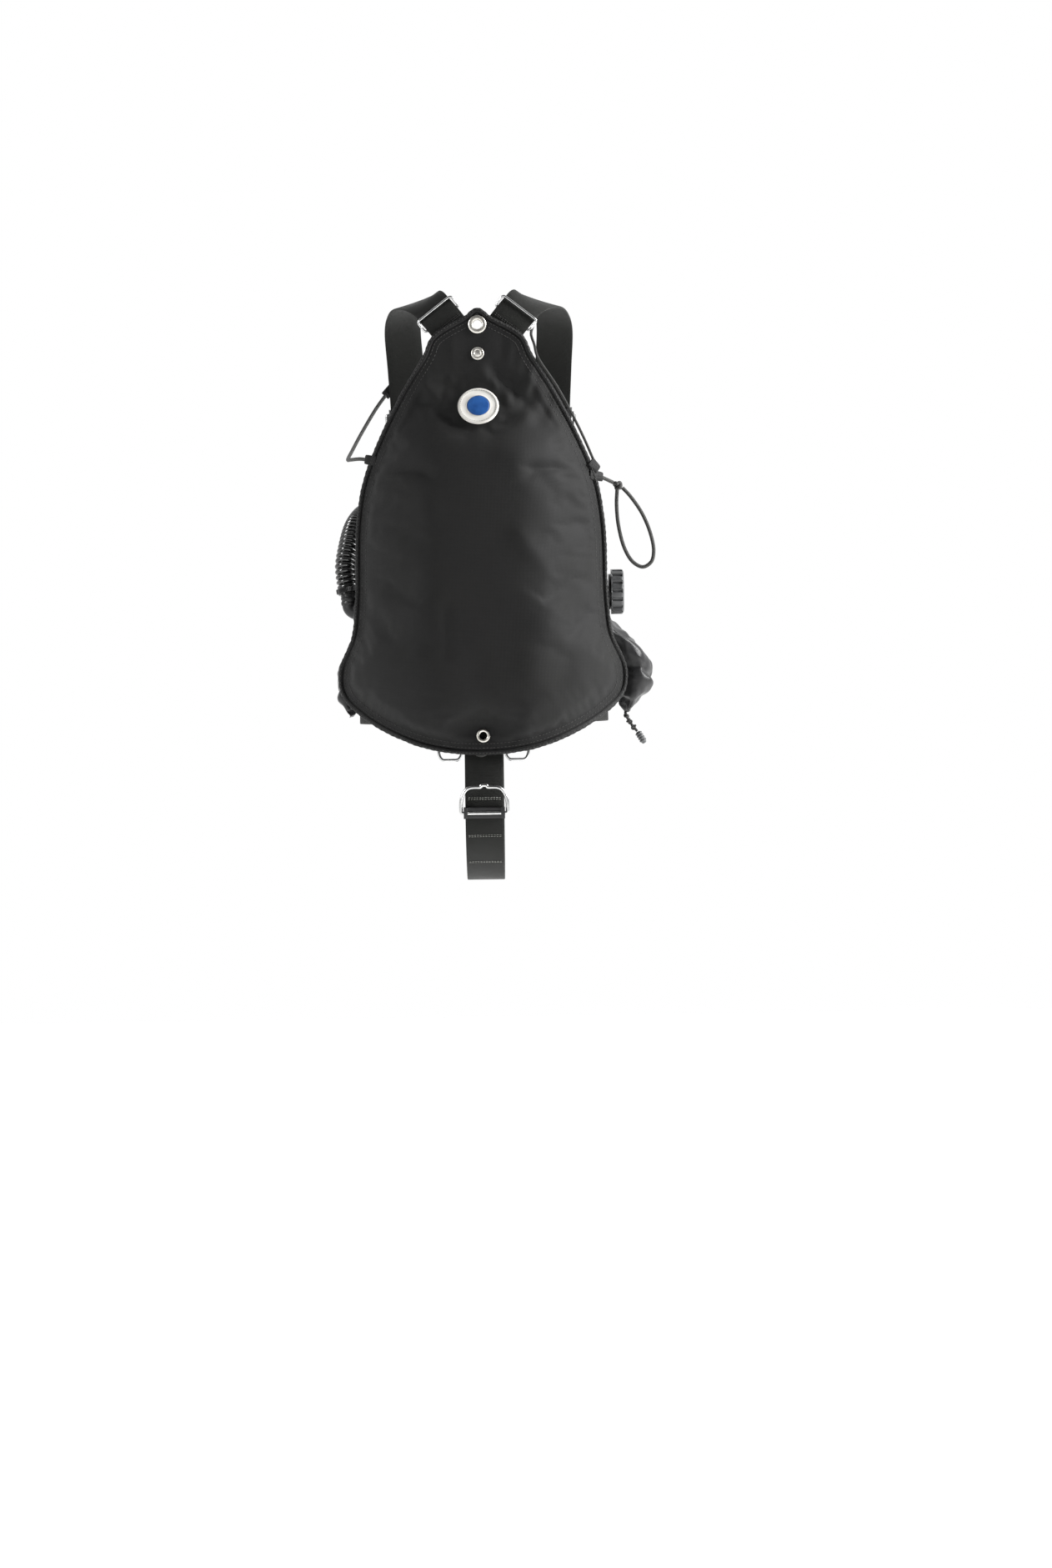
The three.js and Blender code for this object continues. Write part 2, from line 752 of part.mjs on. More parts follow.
function straps() {
  const drilled = (geometry, ...heights) =>
    cut(geometry, ...heights.map((z) => rod('y', SCREW_R + GAP, 30, 0, 0, z)));
  add('shoulder_strap_left', drilled(strap(shoulderRoute.left, 34), SCREW_Z), WEBBING);
  add('shoulder_strap_right', drilled(strap(shoulderRoute.right, 34), SCREW_Z), WEBBING);
  const spine = strap(spineRoute, 6);
  add('spine_strap', drilled(spine, SPINE_SCREW_Z, SCREW_Z), WEBBING);
  const crotch = strap(crotchRoute, 26, 0, LOOP_SHARE);
  add('crotch_strap', drilled(crotch, CROTCH_SCREW_Z), WEBBING);
  add('crotch_loop', strap(crotchRoute, 14, LOOP_SHARE + LOOP_SEAM), WEBBING);
  add('waist_belt_right', strap(rightBelt, 34), WEBBING);
  add('waist_belt_left', strap(leftBelt, 26), WEBBING);
}

// ---------------------------------------------------------------- wire fittings on straps

// The ladder that each shoulder strap threads: outer, middle and inner bars on two legs.
function strapLadder(side) {
  const s = SIDES[side];
  const outer = vec(s * 56.5, BACK - 4.6, SCREW_Z + 60.5);
  const inner = vec(s * 46, BACK - 0.4, SCREW_Z + 47);
  const along = outer.clone().sub(inner).normalize();
  const half = WEB / 2 + WIRE_R + 1.2;
  const across = vec(along.z, 0, -along.x).normalize();
  const out = across.clone().cross(along).normalize();
  const reach = outer.distanceTo(inner);
  const frame = frameAt(inner, across, along, out);
  const bend = 4;
  const corners = [
    [-half + bend, 0],
    [half - bend, 0],
    [half, bend],
    [half, reach - bend],
    [half - bend, reach],
    [-half + bend, reach],
    [-half, reach - bend],
    [-half, bend],
  ];
  add(`strap_ladder_${side}`, wireLoop(corners, WIRE_R, frame, 24, 6, 0.3), STEEL);
}

// A keeper: a moulded block with a slot for the strap and a bore for a ring's bar.
// Its frame has X across the strap, Y along it and Z outwards.
// Its outer wall is open between two lugs, so the bar shows.
const BAR_OUT = WEB_T / 2 + SLOT_GAP + KEEPER_WALL + RING_WIRE_R; // above the strap's centre
const LUG_W = 5;

function keeper(name, frame) {
  const low = -WEB_T / 2 - SLOT_GAP - KEEPER_WALL;
  const high = BAR_OUT + RING_WIRE_R + 2;
  const block = box(KEEPER_W, KEEPER_H, high - low, 0, 0, (high + low) / 2);
  const slot = box(WEB + 1.6, KEEPER_H * 2, WEB_T + 2 * SLOT_GAP);
  const bore = rod('x', RING_WIRE_R + GAP, KEEPER_W * 2, 0, 0, BAR_OUT, 16);
  const window = box(KEEPER_W - 2 * LUG_W, KEEPER_H * 2, high, 0, 0, BAR_OUT + high / 2);
  add(name, cut(block, slot, bore, window).applyMatrix4(frame), RUBBER);
}

// A D-ring: a straight bar along X through the keeper and a bow out to one side.
function dRing(name, frame, drop = RING_DROP, half = RING_HALF, wire = RING_WIRE_R) {
  const seat = frame.clone().multiply(new THREE.Matrix4().makeTranslation(0, 0, BAR_OUT));
  const corners = [
    [-half + 2.5, 0],
    [0, 0],
    [half - 2.5, 0],
    [half, -2.5],
    [half, -drop * 0.45],
    [half * 0.62, -drop * 0.9],
    [0, -drop],
    [-half * 0.62, -drop * 0.9],
    [-half, -drop * 0.45],
    [-half, -2.5],
  ];
  return add(name, wireLoop(corners, wire, seat, 24, 6, 0.3), STEEL);
}

// A keeper and its ring on a strap. The ring lies flat, its bow pointing the way asked:
// 1 along the strap's route or -1 back along it.
function ringOnStrap(label, route, target, way) {
  const seat = route(shareNear(route, target));
  const frame = seat.matrix.clone();
  if (way > 0) frame.multiply(new THREE.Matrix4().makeRotationZ(Math.PI));
  keeper(`${label}_keeper`, frame);
  const ring = dRing(`${label}_ring`, frame);
  setHinge(ring, vec(0, 0, BAR_OUT).applyMatrix4(frame), vec(-1, 0, 0).transformDirection(frame));
}

// The small D-rings under the lumbar plate, each in an eye riveted to the plate's back.
function buttRing(side) {
  const x = SIDES[side] * BUTT_X;
  const eyeR = 5;
  const eyeY = BACK - 0.4;
  const eyeZ = -LUMBAR_H / 2 - eyeR - GAP;
  const tang = box(16, WEB_T, 22, x, BACK, eyeZ + 10);
  const eye = rod('x', eyeR, 16, x, eyeY, eyeZ);
  const bore = rod('x', BUTT_WIRE_R + GAP, 60, x, eyeY, eyeZ);
  add(`butt_${side}_eye`, cut(join(tang, eye), bore), STEEL);
  const frame = frameAt(vec(x, eyeY, eyeZ), vec(-1, 0, 0), vec(0, 0, 1), vec(0, 1, 0));
  frame.multiply(new THREE.Matrix4().makeTranslation(0, 0, -BAR_OUT));
  const ring = dRing(`butt_${side}_ring`, frame, 16, 15, BUTT_WIRE_R);
  setHinge(ring, vec(x, eyeY, eyeZ), vec(1, 0, 0));
}

// ---------------------------------------------------------------- badge

function badge() {
  const [low, high] = [RADIALS[1], RADIALS[2]].map((r) => {
    const z = WING_CENTRE.z + (WING_TOP - WING_CENTRE.z) * r;
    return vec(0, OUTER_BACK - DOME * fullness(r, z), z);
  });
  const up = high.clone().sub(low).normalize();
  const out = vec(1, 0, 0).cross(up).negate().normalize();
  if (out.y > 0) out.negate();
  const seat = low.clone().addScaledVector(up, (BADGE_Z - low.z) / up.z);
  const frame = frameAt(seat, up.clone().cross(out), up, out);
  const rim = turned(
    [
      [0, 0.5],
      [BADGE_R, 0.5],
      [BADGE_R, 2.1],
      [BADGE_R - 1, 3],
      [BADGE_R * 0.56, 3],
      [BADGE_R * 0.56, 1.6],
      [0, 1.6],
    ],
    20,
  );
  add('badge_base', rim.applyMatrix4(frame), WHITE_RUBBER);
  const disc = turned(
    [
      [0, 1.6 + GAP],
      [BADGE_R * 0.56 - GAP, 1.6 + GAP],
      [BADGE_R * 0.56 - GAP, 3.2],
      [0, 3.8],
    ],
    18,
  );
  add('badge_disc', disc.applyMatrix4(frame), BLUE_RUBBER);
}

// ---------------------------------------------------------------- springs

// A compression spring along +Z from zero to its length.
function coil(radius, length, turns) {
  const points = [];
  const perTurn = 7;
  for (let i = 0; i <= turns * perTurn; i += 1) {
    const angle = (i / perTurn) * 2 * Math.PI;
    const rise = SPRING_WIRE_R + (length - 2 * SPRING_WIRE_R) * (i / (turns * perTurn));
    points.push([radius * Math.cos(angle), radius * Math.sin(angle), rise]);
  }
  return cordTube(points, SPRING_WIRE_R, turns * perTurn, 5);
}

// ---------------------------------------------------------------- dump valve

const CAVITY_R = BARREL_R + GAP;

function dumpValve() {
  const frame = frameAt(vec(VALVE_X, VALVE_Y, VALVE_Z), vec(0, 1, 0), vec(0, 0, 1), vec(1, 0, 0));
  const body = turned(
    [
      [14, 0],
      [24, 0],
      [24, 2.5],
      [BARREL_R, 2.5],
      [BARREL_R, SEAT_H],
      [14, SEAT_H],
      [14, 0],
    ],
    18,
  );
  add('valve_body', body.applyMatrix4(frame), PLASTIC);
  const top = CAP_FOOT + CAP_H;
  const cap = turned(
    [
      [CAVITY_R, CAP_FOOT],
      [CAP_R, CAP_FOOT],
      [CAP_R, top - 2],
      [CAP_R - 2, top],
      [0, top],
      [0, top - CAP_TOP_T],
      [CAVITY_R, top - CAP_TOP_T],
      [CAVITY_R, CAP_FOOT],
    ],
    20,
  );
  const vents = [];
  for (let i = 0; i < 6; i += 1) {
    const angle = (i / 6) * 2 * Math.PI;
    vents.push(rod('z', 2.6, 12, 14 * Math.cos(angle), 14 * Math.sin(angle), top, 8));
  }
  add('valve_cap', cut(cap, ...vents).applyMatrix4(frame), PLASTIC);
  const lid = SEAT_H + GAP;
  const poppet = turned(
    [
      [0, lid],
      [BARREL_R - 2, lid],
      [BARREL_R - 2, lid + 1.8],
      [3, lid + 1.8],
      [3, lid + 4],
      [0, lid + 4],
    ],
    16,
  );
  setSlide(add('valve_poppet', poppet.applyMatrix4(frame), RUBBER), vec(1, 0, 0));
  const seat = lid + 1.8 + 0.3;
  const spring = coil(8, top - CAP_TOP_T - 0.3 - seat, 3).translate(0, 0, seat);
  add('valve_spring', spring.applyMatrix4(frame), STEEL);
}

// The pull cord under the right lobe, and the toggle on it.
const PULL_CORD = [
  [190, 118, -13],
  [192, 119, -20],
  [198, 121, -30],
  [206, 122, -40],
];
const TOGGLE = { from: [206.4, 122.1, -40.5], to: [216, 123, -56], radius: 5 };

function dumpPull() {
  add('pull_cord', cordTube(PULL_CORD, THIN_CORD_R, 10), CORD);
  const from = vec(...TOGGLE.from);
  const along = vec(...TOGGLE.to).sub(from);
  const length = along.length();
  const body = turned(
    [
      [0, 0.3],
      [TOGGLE.radius * 0.6, 0.3],
      [TOGGLE.radius, length * 0.3],
      [TOGGLE.radius, length * 0.7],
      [TOGGLE.radius * 0.5, length],
      [0, length],
    ],
    14,
  );
  const turn = new THREE.Quaternion().setFromUnitVectors(vec(0, 0, 1), along.normalize());
  body.applyQuaternion(turn).translate(from.x, from.y, from.z);
  const pull = vec(...PULL_CORD[1]).sub(vec(...PULL_CORD[0])).normalize();
  setSlide(add('pull_toggle', body, PLASTIC), pull);
}

// ---------------------------------------------------------------- hose and elbow

// The hose rises from the elbow, then passes round the left shoulder strap's outer edge.
const STRAP_EDGE = -98 - WEB / 2;
const HOSE_ROUTE = [
  [ELBOW_X - 13.5, 92, 149],
  [ELBOW_X - 16, 93, 164],
  [ELBOW_X - 18, 96, 186],
  [ELBOW_X - 14, 106, 212],
  [ELBOW_X - 8, 130, 238],
  [STRAP_EDGE - 41, 168, 256],
  [STRAP_EDGE - 33, 212, 266],
  [STRAP_EDGE - 17, 248, 274],
  [STRAP_EDGE + 5, 262, 281],
  [STRAP_EDGE + 33, 265, 287],
];
const hoseCurve = new THREE.CatmullRomCurve3(HOSE_ROUTE.map((p) => vec(...p)));

function elbow() {
  const out = hoseCurve.getTangent(0).normalize();
  const mouth = vec(...HOSE_ROUTE[0]).addScaledVector(out, -GAP);
  const length = 20;
  const root = mouth.clone().addScaledVector(out, -length);
  const turn = new THREE.Quaternion().setFromUnitVectors(vec(0, 1, 0), out);
  const alongHose = (radius, span, from) => {
    const middle = from.clone().addScaledVector(out, span / 2);
    return new THREE.CylinderGeometry(radius, radius, span, 16)
      .applyQuaternion(turn)
      .translate(middle.x, middle.y, middle.z);
  };
  const flange = rod('x', 21, 2.6, ELBOW_X - 1.3, VALVE_Y, ELBOW_Z, 18);
  const hub = rod('x', 15, 8, ELBOW_X - 5, VALVE_Y, ELBOW_Z, 18);
  const ball = new THREE.SphereGeometry(13, 12, 8).translate(root.x, root.y, root.z);
  const throat = rod('x', 8, 16, ELBOW_X - 6, VALVE_Y, root.z, 16);
  const shape = join(flange, hub, ball, alongHose(11.5, length, root));
  const wearerSide = box(40, 80, 80, ELBOW_X + 20, VALVE_Y, ELBOW_Z);
  add(
    'hose_elbow',
    cut(shape, throat, alongHose(8, length + 4, root), wearerSide),
    PLASTIC,
  );
}

function hoseAndClamps() {
  add('corrugated_hose', cordTube(HOSE_ROUTE, HOSE_R, 24, 10), RUBBER);
  const clampAt = (name, share) => {
    const point = hoseCurve.getPointAt(share);
    const turn = new THREE.Quaternion().setFromUnitVectors(
      vec(0, 0, 1),
      hoseCurve.getTangentAt(share).normalize(),
    );
    const band = turned(
      [
        [HOSE_R + GAP, -3],
        [HOSE_R + 2.2, -3],
        [HOSE_R + 2.2, 3],
        [HOSE_R + GAP, 3],
        [HOSE_R + GAP, -3],
      ],
      22,
    );
    add(name, band.applyQuaternion(turn).translate(point.x, point.y, point.z), PLASTIC);
  };
  clampAt('hose_clamp_lower', 0.02);
  clampAt('hose_clamp_upper', 0.98);
}

// ---------------------------------------------------------------- power inflator

function inflator() {
  const along = hoseCurve.getTangent(1).normalize();
  const out = vec(0, 1, 0).addScaledVector(along, -along.y).normalize();
  const across = along.clone().cross(out);
  const seat = vec(...HOSE_ROUTE[HOSE_ROUTE.length - 1]);
  const frame = frameAt(seat, out, across, along);
  const place = (geometry) => geometry.applyMatrix4(frame);

  const barrel = turned(
    [
      [0, GAP],
      [INFLATOR_R - 2, GAP],
      [INFLATOR_R, 4],
      [INFLATOR_R, INFLATOR_L - 14],
      [INFLATOR_R + 1.5, INFLATOR_L - 10],
      [INFLATOR_R + 1.5, INFLATOR_L],
      [0, INFLATOR_L],
    ],
    18,
  );
  const inflateBoss = rod('x', INFLATE_R + 3, BOSS_OUT - 4, 4 + (BOSS_OUT - 4) / 2, 0, INFLATE_H);
  const mouthBoss = rod('x', 9, BOSS_OUT - 4, 4 + (BOSS_OUT - 4) / 2, 0, MOUTH_H);
  const inflateBore = rod('x', INFLATE_R + RUN, 16, 6 + 8, 0, INFLATE_H, 16);
  const deflateBore = rod('z', DEFLATE_R + RUN, 16, 0, 0, INFLATOR_L - 8, 16);
  const mouthBore = rod('x', 5.5, 20, 3 + 10, 0, MOUTH_H, 12);
  const body = cut(join(barrel, inflateBoss, mouthBoss), inflateBore, deflateBore, mouthBore);
  add('inflator_body', place(body), PLASTIC);

  const button = (name, radius, from, to, turnTo, material) => {
    const shape = turned(
      [
        [0, from],
        [radius, from],
        [radius, to - 1],
        [radius - 1, to],
        [0, to],
      ],
      16,
    );
    return add(name, place(turnTo(shape)), material);
  };
  const sideways = (shape) => shape.rotateY(Math.PI / 2).translate(0, 0, INFLATE_H);
  const upright = (shape) => shape;
  const inflate = button('inflate_button', INFLATE_R, 12, 22.5, sideways, STEEL);
  setSlide(inflate, vec(-1, 0, 0).transformDirection(frame));
  const deflate = button(
    'deflate_button',
    DEFLATE_R,
    INFLATOR_L - 9,
    INFLATOR_L + 6,
    upright,
    PLASTIC,
  );
  setSlide(deflate, vec(0, 0, -1).transformDirection(frame));
  add('inflate_spring', place(sideways(coil(4.2, 5.4, 3).translate(0, 0, 6.3))), STEEL);
  const deflateSeat = INFLATOR_L - 16 + 0.3;
  add('deflate_spring', place(coil(5, 6.4, 3).translate(0, 0, deflateSeat)), STEEL);

  const mouthpiece = turned(
    [
      [6, BOSS_OUT + GAP],
      [9, BOSS_OUT + GAP],
      [8, BOSS_OUT + 8],
      [12, BOSS_OUT + 12],
      [12, BOSS_OUT + 15],
      [6, BOSS_OUT + 15],
      [6, BOSS_OUT + GAP],
    ],
    16,
  );
  add('mouthpiece', place(mouthpiece.rotateY(Math.PI / 2).translate(0, 0, MOUTH_H)), RUBBER);
  const nippleFoot = INFLATOR_R + GAP;
  const nipple = turned(
    [
      [0, nippleFoot],
      [5.5, nippleFoot],
      [5.5, nippleFoot + 4],
      [4, nippleFoot + 5],
      [4, nippleFoot + 9],
      [5, nippleFoot + 10],
      [5, nippleFoot + 15],
      [0, nippleFoot + 15],
    ],
    20,
  );
  add('air_nipple', place(nipple.rotateX(Math.PI / 2).translate(0, 0, INFLATE_H)), STEEL);
}

// ---------------------------------------------------------------- waist buckle

function buckle() {
  const plateY = FRONT_FLAT - 2.8;
  const pinY = FRONT_FLAT + 9;
  const half = WEB / 2 + 5;
  const base = box(BUCKLE_L, 1.8, 2 * half, BUCKLE_X, plateY + 0.9, 0);
  const ear = (s) =>
    box(18, pinY + 5 - plateY, 2.2, BUCKLE_X, (pinY + 5 + plateY) / 2, s * (half - 1.1));
  const pinHole = rod('z', PIN_R + RUN, 3 * half, BUCKLE_X, pinY, 0, 16);
  const beltSlot = box(7, 20, WEB + 3, BUCKLE_X - 22, plateY, 0);
  add('buckle_frame', cut(join(base, ear(-1), ear(1)), pinHole, beltSlot), STEEL);
  add('buckle_pin', rod('z', PIN_R, 2 * half, BUCKLE_X, pinY, 0, 16), STEEL);
  const leverW = WEB + 2;
  const hub = rod('z', 5, leverW, BUCKLE_X, pinY, 0, 20);
  const blade = box(40, 2.2, leverW, BUCKLE_X - 20, pinY + 1.4, 0);
  const lever = add('buckle_lever', cut(join(hub, blade), pinHole), STEEL);
  setHinge(lever, vec(BUCKLE_X, pinY, 0), vec(0, 0, -1));
}

// ---------------------------------------------------------------- bungees

const BUNGEE_TAIL = [
  [159.5, 38, 297],
  [167, 43, 294],
  [176.5, 49, 290],
];
const BUNGEE_LOOP = [
  [182, 53, 280.5],
  [181, 54, 262],
  [183, 55, 234],
  [191, 55, 202],
  [202, 55, 184],
  [215, 55, 177.5],
  [226, 55, 184],
  [229.5, 55, 198],
  [226, 54, 220],
  [215, 53, 248],
  [199, 52, 272],
  [189, 52, 283],
];
const CHEST_BUNGEE = [
  [-149, 24, 323],
  [-158, 38, 325],
  [-172, 70, 327],
  [-178, 110, 331],
  [-174, 150, 346],
  [-160, 190, 378],
  [-141, 212, 412],
  [-129, 211, 428],
];
const EDGE_CORD = [
  [70.5, -9, 482],
  [74.5, -15, 467],
  [78, -17, 452],
  [105, -6.5, 410],
  [135.6, 13, 352],
  [156, 32.6, 306],
];
const LOW_BUNGEE = [
  [3, -12, -47],
  [8, -12, -58],
  [5, -12, -67],
  [-3, -12, -71],
  [-11, -12, -67],
  [-11, -12, -58],
  [-5, -12, -48],
];

function bungees() {
  add('bungee_tail', cordTube(BUNGEE_TAIL, BUNGEE_R, 4), CORD);
  add('bungee_loop', cordTube(BUNGEE_LOOP, BUNGEE_R, 26), CORD);
  const knot = new THREE.IcosahedronGeometry(6.2, 1).scale(1.05, 0.9, 1);
  const knotAt = vec(183.5, 52, 287.5);
  knot.translate(knotAt.x, knotAt.y, knotAt.z);
  add('bungee_knot', toGeometry(toManifold(knot)), CORD);
  add('chest_bungee', cordTube(CHEST_BUNGEE, BUNGEE_R, 18), CORD);
  add('edge_cord', cordTube(EDGE_CORD, THIN_CORD_R, 14), CORD);
  add('low_bungee', cordTube(LOW_BUNGEE, BUNGEE_R - 0.6, 18), CORD);
}

// ---------------------------------------------------------------- assembly

wingShell();
airBladder();
edgeBinding();
grommet('top_grommet', TOP_GROMMET_Z, TOP_GROMMET_R, TOP_GROMMET_HOLE, 1.6);
grommet('low_grommet', LOW_GROMMET_Z, LOW_GROMMET_R, LOW_GROMMET_HOLE, 1.3);
badge();
lobe('left');
lobe('right');
plates();
bookScrew('wing_screw', SCREW_Z, OUTER_BACK, SCREW_HEAD_R);
bookScrew('spine_screw', SPINE_SCREW_Z, BACK - WEB_T / 2, PLATE_HEAD_R);
bookScrew('crotch_screw', CROTCH_SCREW_Z, BACK - WEB_T / 2, PLATE_HEAD_R);
straps();
strapLadder('left');
strapLadder('right');
ringOnStrap('chest_left', shoulderRoute.left, vec(-98, CHEST_Y - 10, CHEST_RING_Z), 1);
ringOnStrap('chest_right', shoulderRoute.right, vec(98, CHEST_Y - 10, CHEST_RING_Z), 1);
ringOnStrap('crotch', crotchRoute, vec(0, -20, -145), -1);
buttRing('left');
buttRing('right');
dumpValve();
dumpPull();
elbow();
hoseAndClamps();
inflator();
buckle();
bungees();

export default part;
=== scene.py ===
"""Sidemount buoyancy vest: the finished surfaces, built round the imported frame.

Shapes are worked out in millimetres in the frame's own axes (+Z up, the wearer faces +Y,
+X is the wearer's right) and turned to metres where a mesh is made.
"""

import math

import bmesh
import bpy
from mathutils import Matrix, Vector, noise
from mathutils.bvhtree import BVHTree
from mathutils.geometry import delaunay_2d_cdt


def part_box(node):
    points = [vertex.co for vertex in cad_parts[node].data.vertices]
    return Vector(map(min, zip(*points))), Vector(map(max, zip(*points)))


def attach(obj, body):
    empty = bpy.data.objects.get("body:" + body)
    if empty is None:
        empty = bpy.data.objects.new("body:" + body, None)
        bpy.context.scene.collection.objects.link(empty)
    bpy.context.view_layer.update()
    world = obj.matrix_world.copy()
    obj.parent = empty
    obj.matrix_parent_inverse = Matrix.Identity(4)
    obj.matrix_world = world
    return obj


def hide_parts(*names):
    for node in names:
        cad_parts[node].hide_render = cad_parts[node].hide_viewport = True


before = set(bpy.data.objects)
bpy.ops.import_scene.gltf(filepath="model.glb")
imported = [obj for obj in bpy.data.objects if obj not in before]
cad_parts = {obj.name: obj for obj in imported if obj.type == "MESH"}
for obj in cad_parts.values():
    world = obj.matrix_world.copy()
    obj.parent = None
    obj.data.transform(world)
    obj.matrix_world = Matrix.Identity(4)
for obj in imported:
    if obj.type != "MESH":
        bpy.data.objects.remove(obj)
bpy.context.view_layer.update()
SCENE = bpy.context.scene
MM = 0.001
SIDES = {"left": -1, "right": 1}

# ------------------------------------------------------------------ sizes, in millimetres

GAP = 0.4  # clearance between pieces that touch

# Webbing
WEB = 50.0  # width of every strap
WEB_T = 2.4  # thickness of every strap
PLATE_T = 3.0
LAYER = WEB_T + GAP  # from one strap's middle to the next one's
BACK = -PLATE_T - GAP - WEB_T / 2  # y of the straps behind the lumbar plate

# Wing
WING_TOP = 511.0  # height of its top edge above the belt line
WING_BOTTOM = -65.0
WING_MIDDLE = 180.0  # height of its centre
WING_FRONT = -16.0  # y of its two sides on the flange
WING_BACK = -19.2
DOME = 41.0  # how far the back panel bulges before the swelling
FULL_DOME = 46.0  # and after it
FLANGE = 0.95  # share of the way to the edge where the sewn flange begins
SWELL = 7.0  # how far a point of the cloth may move
FOLD_DEPTH = 1.5  # scale of the heights in FOLDS
CREASE_DEPTH = 1.35  # scale of the heights in CREASES
PUCKER_RIGHT, PUCKER_LEFT = 3.6, 1.8  # gathers at the seam on either side
BINDING_W = 5.0
BINDING_T = 5.6
BADGE_R = 27.0
BADGE_DISC_R = BADGE_R * 0.56
BADGE_Z = WING_TOP - 126
SCREW_Z = WING_TOP - 55
SCREW_R = 4.0
TOP_EYELET = (WING_TOP - 17, 12.0, 6.0)  # height, flange radius, hole radius
LOW_EYELET = (-45.0, 9.0, 5.0)

# Front of the harness
FRONT_FLAT = 226.0  # y of the belt across the belly
CHEST_Y = 232.0  # y of the shoulder straps on the chest
CHEST_RING = (98.0, CHEST_Y - 10, SCREW_Z - 56)
STRAP_FOOT_Z = WEB / 2 + 9  # where the shoulder straps meet the belt
BUCKLE_X = -(WEB / 2 + 33)

# Wire fittings
LADDER_WIRE_R = 1.7
RING_WIRE_R = 2.5
RING_HALF = WEB / 2 + 5.5  # half width of a D-ring between its wire centres
RING_DROP = 34.0  # from a D-ring's bar to its far side
BAR_OUT = WEB_T / 2 + 1.0 + 1.6 + RING_WIRE_R  # a ring's bar above its strap's middle
BUTT_RING_X = WEB / 2 + 19
BUTT_EYE_Z = -55 - 5 - GAP
BUTT_RING = (16.0, 15.0, 2.0)  # drop, half width and wire radius

# Cords, hose and valve
BUNGEE_R = 2.5
THIN_R = 1.8
HOSE_R = 15.0
RIB_PITCH = 6.8
VALVE_AT = (169.4, 92.0, 147.0)
VALVE_CAP_R = 30.0
VALVE_BARREL_R = 20.0
VALVE_FOOT, VALVE_TOP = 3.2, 20.2  # the cap's rim and top above the clamped face


# ------------------------------------------------------------------ camera


def set_camera():
    """A long lens at the height of the waist, looking straight at the wearer's back."""
    data = bpy.data.cameras.new("camera")
    data.lens = 85
    data.sensor_width = 36
    data.clip_end = 50
    camera = bpy.data.objects.new("camera", data)
    SCENE.collection.objects.link(camera)
    tilt = Matrix.Rotation(math.radians(90), 4, "X") @ Matrix.Rotation(math.radians(-0.86), 4, "Z")
    camera.matrix_world = Matrix.Translation((0.055, -4.87, -0.109)) @ tilt
    SCENE.camera = camera


set_camera()

# ------------------------------------------------------------------ curves and meshes


def centripetal(points, closed=False):
    """A smooth curve through points, as a function of the share of its stretches, 0 to 1."""
    knots = [Vector(p) for p in points]
    stretches = len(knots) if closed else len(knots) - 1

    def at(share):
        place = min(max(share, 0.0), 1.0) * stretches
        i = min(int(place), stretches - 1)
        t = place - i
        if closed:
            p0, p1, p2, p3 = (knots[(i + k) % len(knots)] for k in (-1, 0, 1, 2))
        else:
            p1, p2 = knots[i], knots[i + 1]
            p0 = knots[i - 1] if i > 0 else p1 * 2 - p2
            p3 = knots[i + 2] if i + 2 < len(knots) else p2 * 2 - p1
        d0, d1, d2 = (math.sqrt((b - a).length) for a, b in ((p0, p1), (p1, p2), (p2, p3)))
        d1 = d1 if d1 > 1e-4 else 1.0
        d0 = d0 if d0 > 1e-4 else d1
        d2 = d2 if d2 > 1e-4 else d1
        m1 = ((p1 - p0) / d0 - (p2 - p0) / (d0 + d1) + (p2 - p1) / d1) * d1
        m2 = ((p2 - p1) / d1 - (p3 - p1) / (d1 + d2) + (p3 - p2) / d2) * d1
        rise = (p2 - p1) * 3 - m1 * 2 - m2
        turn = (p1 - p2) * 2 + m1 + m2
        return p1 + m1 * t + rise * t**2 + turn * t**3

    return at


def tangent(curve, share):
    low, high = max(share - 1e-4, 0), min(share + 1e-4, 1)
    return (curve(high) - curve(low)).normalized()


def spaced(curve, step):
    """Points along a curve, about a step apart, with the distance of each from its start."""
    fine = [curve(i / 2000) for i in range(2001)]
    lengths = [0.0]
    for a, b in zip(fine, fine[1:]):
        lengths.append(lengths[-1] + (b - a).length)
    count = max(2, round(lengths[-1] / step))
    rows, k = [], 0
    for i in range(count + 1):
        want = lengths[-1] * i / count
        while k < 1999 and lengths[k + 1] < want:
            k += 1
        part = (want - lengths[k]) / max(lengths[k + 1] - lengths[k], 1e-9)
        rows.append((fine[k].lerp(fine[k + 1], min(part, 1)), want))
    return rows


def carried(points, closed=False):
    """Two directions square to a line at each of its points, turning as little as can be."""
    count = len(points)
    frames = []
    side = None
    for i, p in enumerate(points):
        after = points[(i + 1) % count] if closed or i < count - 1 else p
        before = points[i - 1] if closed or i > 0 else p
        along = (after - before).normalized()
        if side is None:
            side = along.cross(Vector((0.1, 0.2, 1))).normalized()
        side = (side - along * side.dot(along)).normalized()
        frames.append((along, side, along.cross(side)))
    return frames


